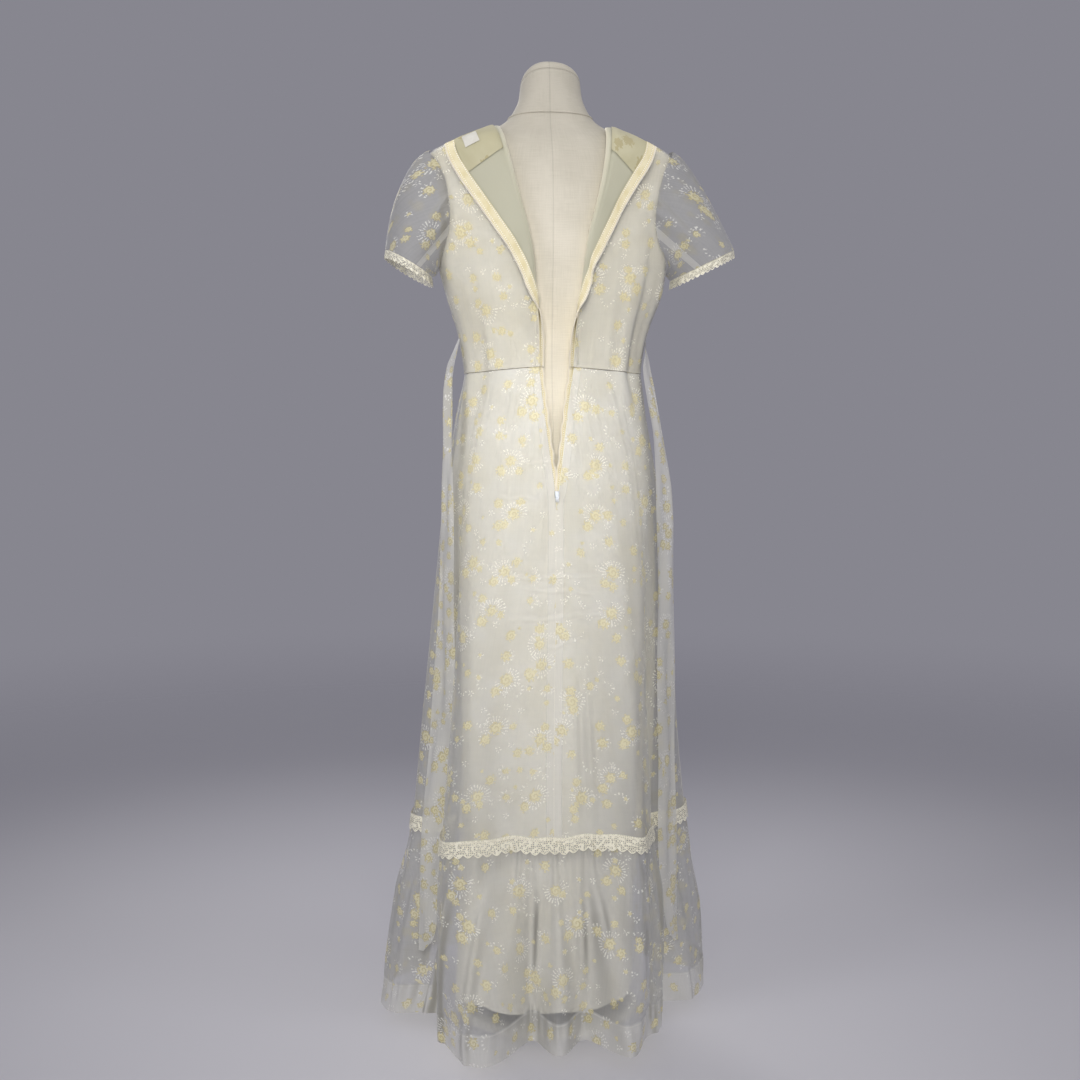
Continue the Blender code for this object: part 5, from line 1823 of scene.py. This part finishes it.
@dataclass
class DressForm:
    """The padded form: torso, domed neck cap and the piping round the base of the neck."""

    finishes: Wardrobe
    steps: int = 144

    def lathe(self, name: str, rings: np.ndarray, capped: bool) -> bpy.types.Object:
        """A smooth skin over stacked rings.

        Args:
            name: the piece's name.
            rings: rings by steps by 3.
            capped: whether both ends are closed.

        Returns:
            The piece.
        """
        count, steps = rings.shape[:2]
        faces = quads(count, steps, True).tolist()
        if capped:
            faces.append(list(range(steps))[::-1])
            faces.append(list(range((count - 1) * steps, count * steps)))
        mesh = bpy.data.meshes.new(name)
        mesh.from_pydata(rings.reshape(-1, 3).tolist(), [], faces)
        girth = np.linspace(0, 2 * math.pi * FORM_GIRTH_RADIUS, steps + 1)
        left, right, low, high = np.broadcast_arrays(girth[:-1], girth[1:], rings[:-1, :, 2],
                                                     rings[1:, :, 2])
        corners = np.stack([left, low, right, low, right, high, left, high], -1).reshape(-1)
        data = np.zeros(2 * len(mesh.loops), np.float32)
        data[:corners.size] = corners
        mesh.uv_layers.new(name="cloth").data.foreach_set("uv", data)
        mesh.shade_smooth()
        LOG.info("%s: %d faces", name, len(faces))
        return placed(name, mesh, self.finishes.linen)

    def ring(self, height: float, scale: float = 1.0, rise: float = 0.0) -> np.ndarray:
        """One ring of the form.

        Args:
            height: the section's height.
            scale: how much smaller or larger it is than the form there.
            rise: how far above that height it lies.

        Returns:
            The ring's points.
        """
        theta = np.linspace(0, 2 * math.pi, self.steps, endpoint=False) + math.pi / 2
        made = around(theta, form_oval(theta, np.array(height)) * scale, np.array(height + rise))
        made[:, 2] -= float(column(FORM, "lean", height)) * made[:, 1]
        return made

    def build(self) -> None:
        """Makes the torso, the neck cap and the piping."""
        heights = np.concatenate([np.linspace(0.800, 1.34, 50), np.linspace(1.345, 1.4735, 44)])
        torso = self.lathe("form_torso_skin", np.array([self.ring(h) for h in heights]), True)
        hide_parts("form_torso")
        top = float(FORM["height"][-1])
        rings = [self.ring(top, math.sqrt(1 - s ** 2), CAP_GAP + s * CAP_HEIGHT)
                 for s in np.sin(np.linspace(0, 0.985, 26) * math.pi / 2)]
        cap = self.lathe("form_neck_cap_skin", np.array(rings), True)
        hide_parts("form_neck_cap")

        centre = self.ring(1.4265)
        centre[:, :2] *= 1.004
        theta = np.linspace(0, 2 * math.pi, 10, endpoint=False)
        outward = centre - centre.mean(0)
        outward[:, 2] = 0
        outward /= np.linalg.norm(outward, axis=1, keepdims=True)
        tube = [centre + outward * PIPING * math.cos(t) + np.array([0, 0, PIPING * math.sin(t)])
                for t in theta]
        tube.append(tube[0])
        piping = self.lathe("neck_piping", np.array(tube), False)
        LOG.info("%s sits round the neck", piping.name)


@dataclass
class HardParts:
    """The solids that stay as they are: pole, base, slider and pull tab."""

    frame: dict
    finishes: Wardrobe

    def build(self) -> None:
        """Puts a worn metal or enamel finish on each."""
        nickel, enamel = self.finishes.nickel, self.finishes.enamel
        for name, material in (("stand_pole", nickel), ("stand_base", enamel),
                               ("zip_slider", nickel), ("pull_tab", nickel)):
            for slot in self.frame["nodes"][name].material_slots:
                slot.material = material
            LOG.info("%s keeps its solid", name)


@dataclass
class Studio:
    """A pale round floor, soft lights and the camera of the photo."""

    azimuth: float = math.radians(-6)
    distance: float = 2.5
    height: float = 0.99
    pitch: float = math.radians(5.12)
    aside: float = -0.0096
    lens: float = 52.083
    sensor: float = 36
    floor_radius: float = 4.5

    def floor(self) -> None:
        """A round painted floor that fades into the studio's air."""
        mesh = bpy.data.meshes.new("studio_floor")
        reach, turns = self.floor_radius, [2 * math.pi * k / 64 for k in range(64)]
        points = [(reach * math.cos(t), reach * math.sin(t), 0) for t in turns]
        mesh.from_pydata(points, [], [tuple(range(len(turns)))])
        material, tree, shader = bare_finish("painted_floor")
        place = node(tree, "TexCoord", output="Object")
        mottle = node(tree, "TexNoise", {"Vector": place, "Scale": 0.8, "Detail": 2.0})
        tint = node(tree, "ValToRGB", [mottle], stops=[(0.3, "#c0bfc5"), (0.7, "#c5c4c9")])
        far = node(tree, "VectorMath", [place], output="Value", operation="LENGTH")
        fade = node(tree, "MapRange", [far, 0.9, 4.4, 1.0, 0.0], interpolation_type="SMOOTHSTEP")
        feed(shader, {"Roughness": 0.9, "Base Color": tint, "Alpha": fade})
        mesh.materials.append(material)
        floor = bpy.data.objects.new("studio_floor", mesh)
        bpy.context.scene.collection.objects.link(floor)

    def lamp(self, name: str, place: tuple[float, float, float], aim: tuple[float, float, float],
             size: tuple[float, float], power: float, spread: float, colour: str) -> None:
        """A soft rectangular light.

        Args:
            name: its name.
            place, aim: where it is and what it points at.
            size: its width and height.
            power: watts.
            spread: the full angle of its beam, in degrees.
            colour: sRGB hex.
        """
        light = bpy.data.lights.new(name, "AREA")
        light.shape = "RECTANGLE"
        light.size, light.size_y = size
        light.energy = power
        light.spread = math.radians(spread)
        light.color = linear(colour)[:3]
        lamp = bpy.data.objects.new(name, light)
        lamp.location = place
        lamp.rotation_euler = (Vector(aim) - Vector(place)).to_track_quat("-Z", "Y").to_euler()
        lamp.visible_camera = False
        bpy.context.scene.collection.objects.link(lamp)

    def camera(self) -> None:
        """The photo's camera."""
        data = bpy.data.cameras.new("camera")
        data.lens = self.lens
        data.sensor_width = self.sensor
        camera = bpy.data.objects.new("camera", data)
        back = Vector((math.sin(self.azimuth), -math.cos(self.azimuth), 0))
        right = Vector((math.cos(self.azimuth), math.sin(self.azimuth), 0))
        camera.location = back * self.distance + Vector((0, 0, self.height)) + right * self.aside
        forward = -back * math.cos(self.pitch) + Vector((0, 0, -math.sin(self.pitch)))
        camera.rotation_euler = forward.to_track_quat("-Z", "Y").to_euler()
        bpy.context.scene.collection.objects.link(camera)
        bpy.context.scene.camera = camera

    def build(self) -> None:
        """Makes the floor, the lights, the world and the camera."""
        self.floor()
        self.lamp("key_light", (-0.35, -2.20, 1.60), (0, 0, 0.79), (1.0, 0.8), 6.4, 80, "#fffdf8")
        self.lamp("top_light", (0.1, -0.9, 3.2), (0, 0, 1.1), (1.6, 1.6), 6.2, 110, "#fbfaf8")
        self.lamp("left_light", (-1.9, -1.1, 1.7), (0, 0, 0.95), (0.8, 1.0), 3.2, 90, "#f6f6fa")
        self.lamp("right_light", (1.9, -1.1, 1.7), (0, 0, 0.95), (0.8, 1.0), 2.1, 90, "#f6f6fa")
        self.lamp("far_light", (-0.5, 2.3, 2.0), (0, 0, 1.0), (1.2, 1.2), 8.5, 90, "#fbfaf8")
        world = bpy.data.worlds.new("studio_air")
        world.use_nodes = True
        feed(world.node_tree.nodes["Background"], [linear("#9a99a3"), 0.75])
        bpy.context.scene.world = world
        bpy.context.scene.view_settings.view_transform = "Standard"
        self.camera()


def main() -> None:
    """Builds every piece and the studio."""
    logging.basicConfig(level=logging.INFO, format="%(message)s")
    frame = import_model()
    finishes = Wardrobe()
    DressForm(finishes).build()
    BackBodice(-1, finishes).build()
    BackBodice(1, finishes).build()
    FrontBodice(finishes).build()
    Sleeve(0, finishes).build()
    Sleeve(1, finishes).build()
    Skirt(finishes).build()
    Flounce("back", -math.pi, 7, finishes).build()
    Flounce("front", 0.0, 19, finishes).build()
    Tie("left", TIE_LEFT, finishes).build()
    Tie("right", TIE_RIGHT, finishes).build()
    HardParts(frame, finishes).build()
    Studio().build()


if __name__ == "__main__":
    main()
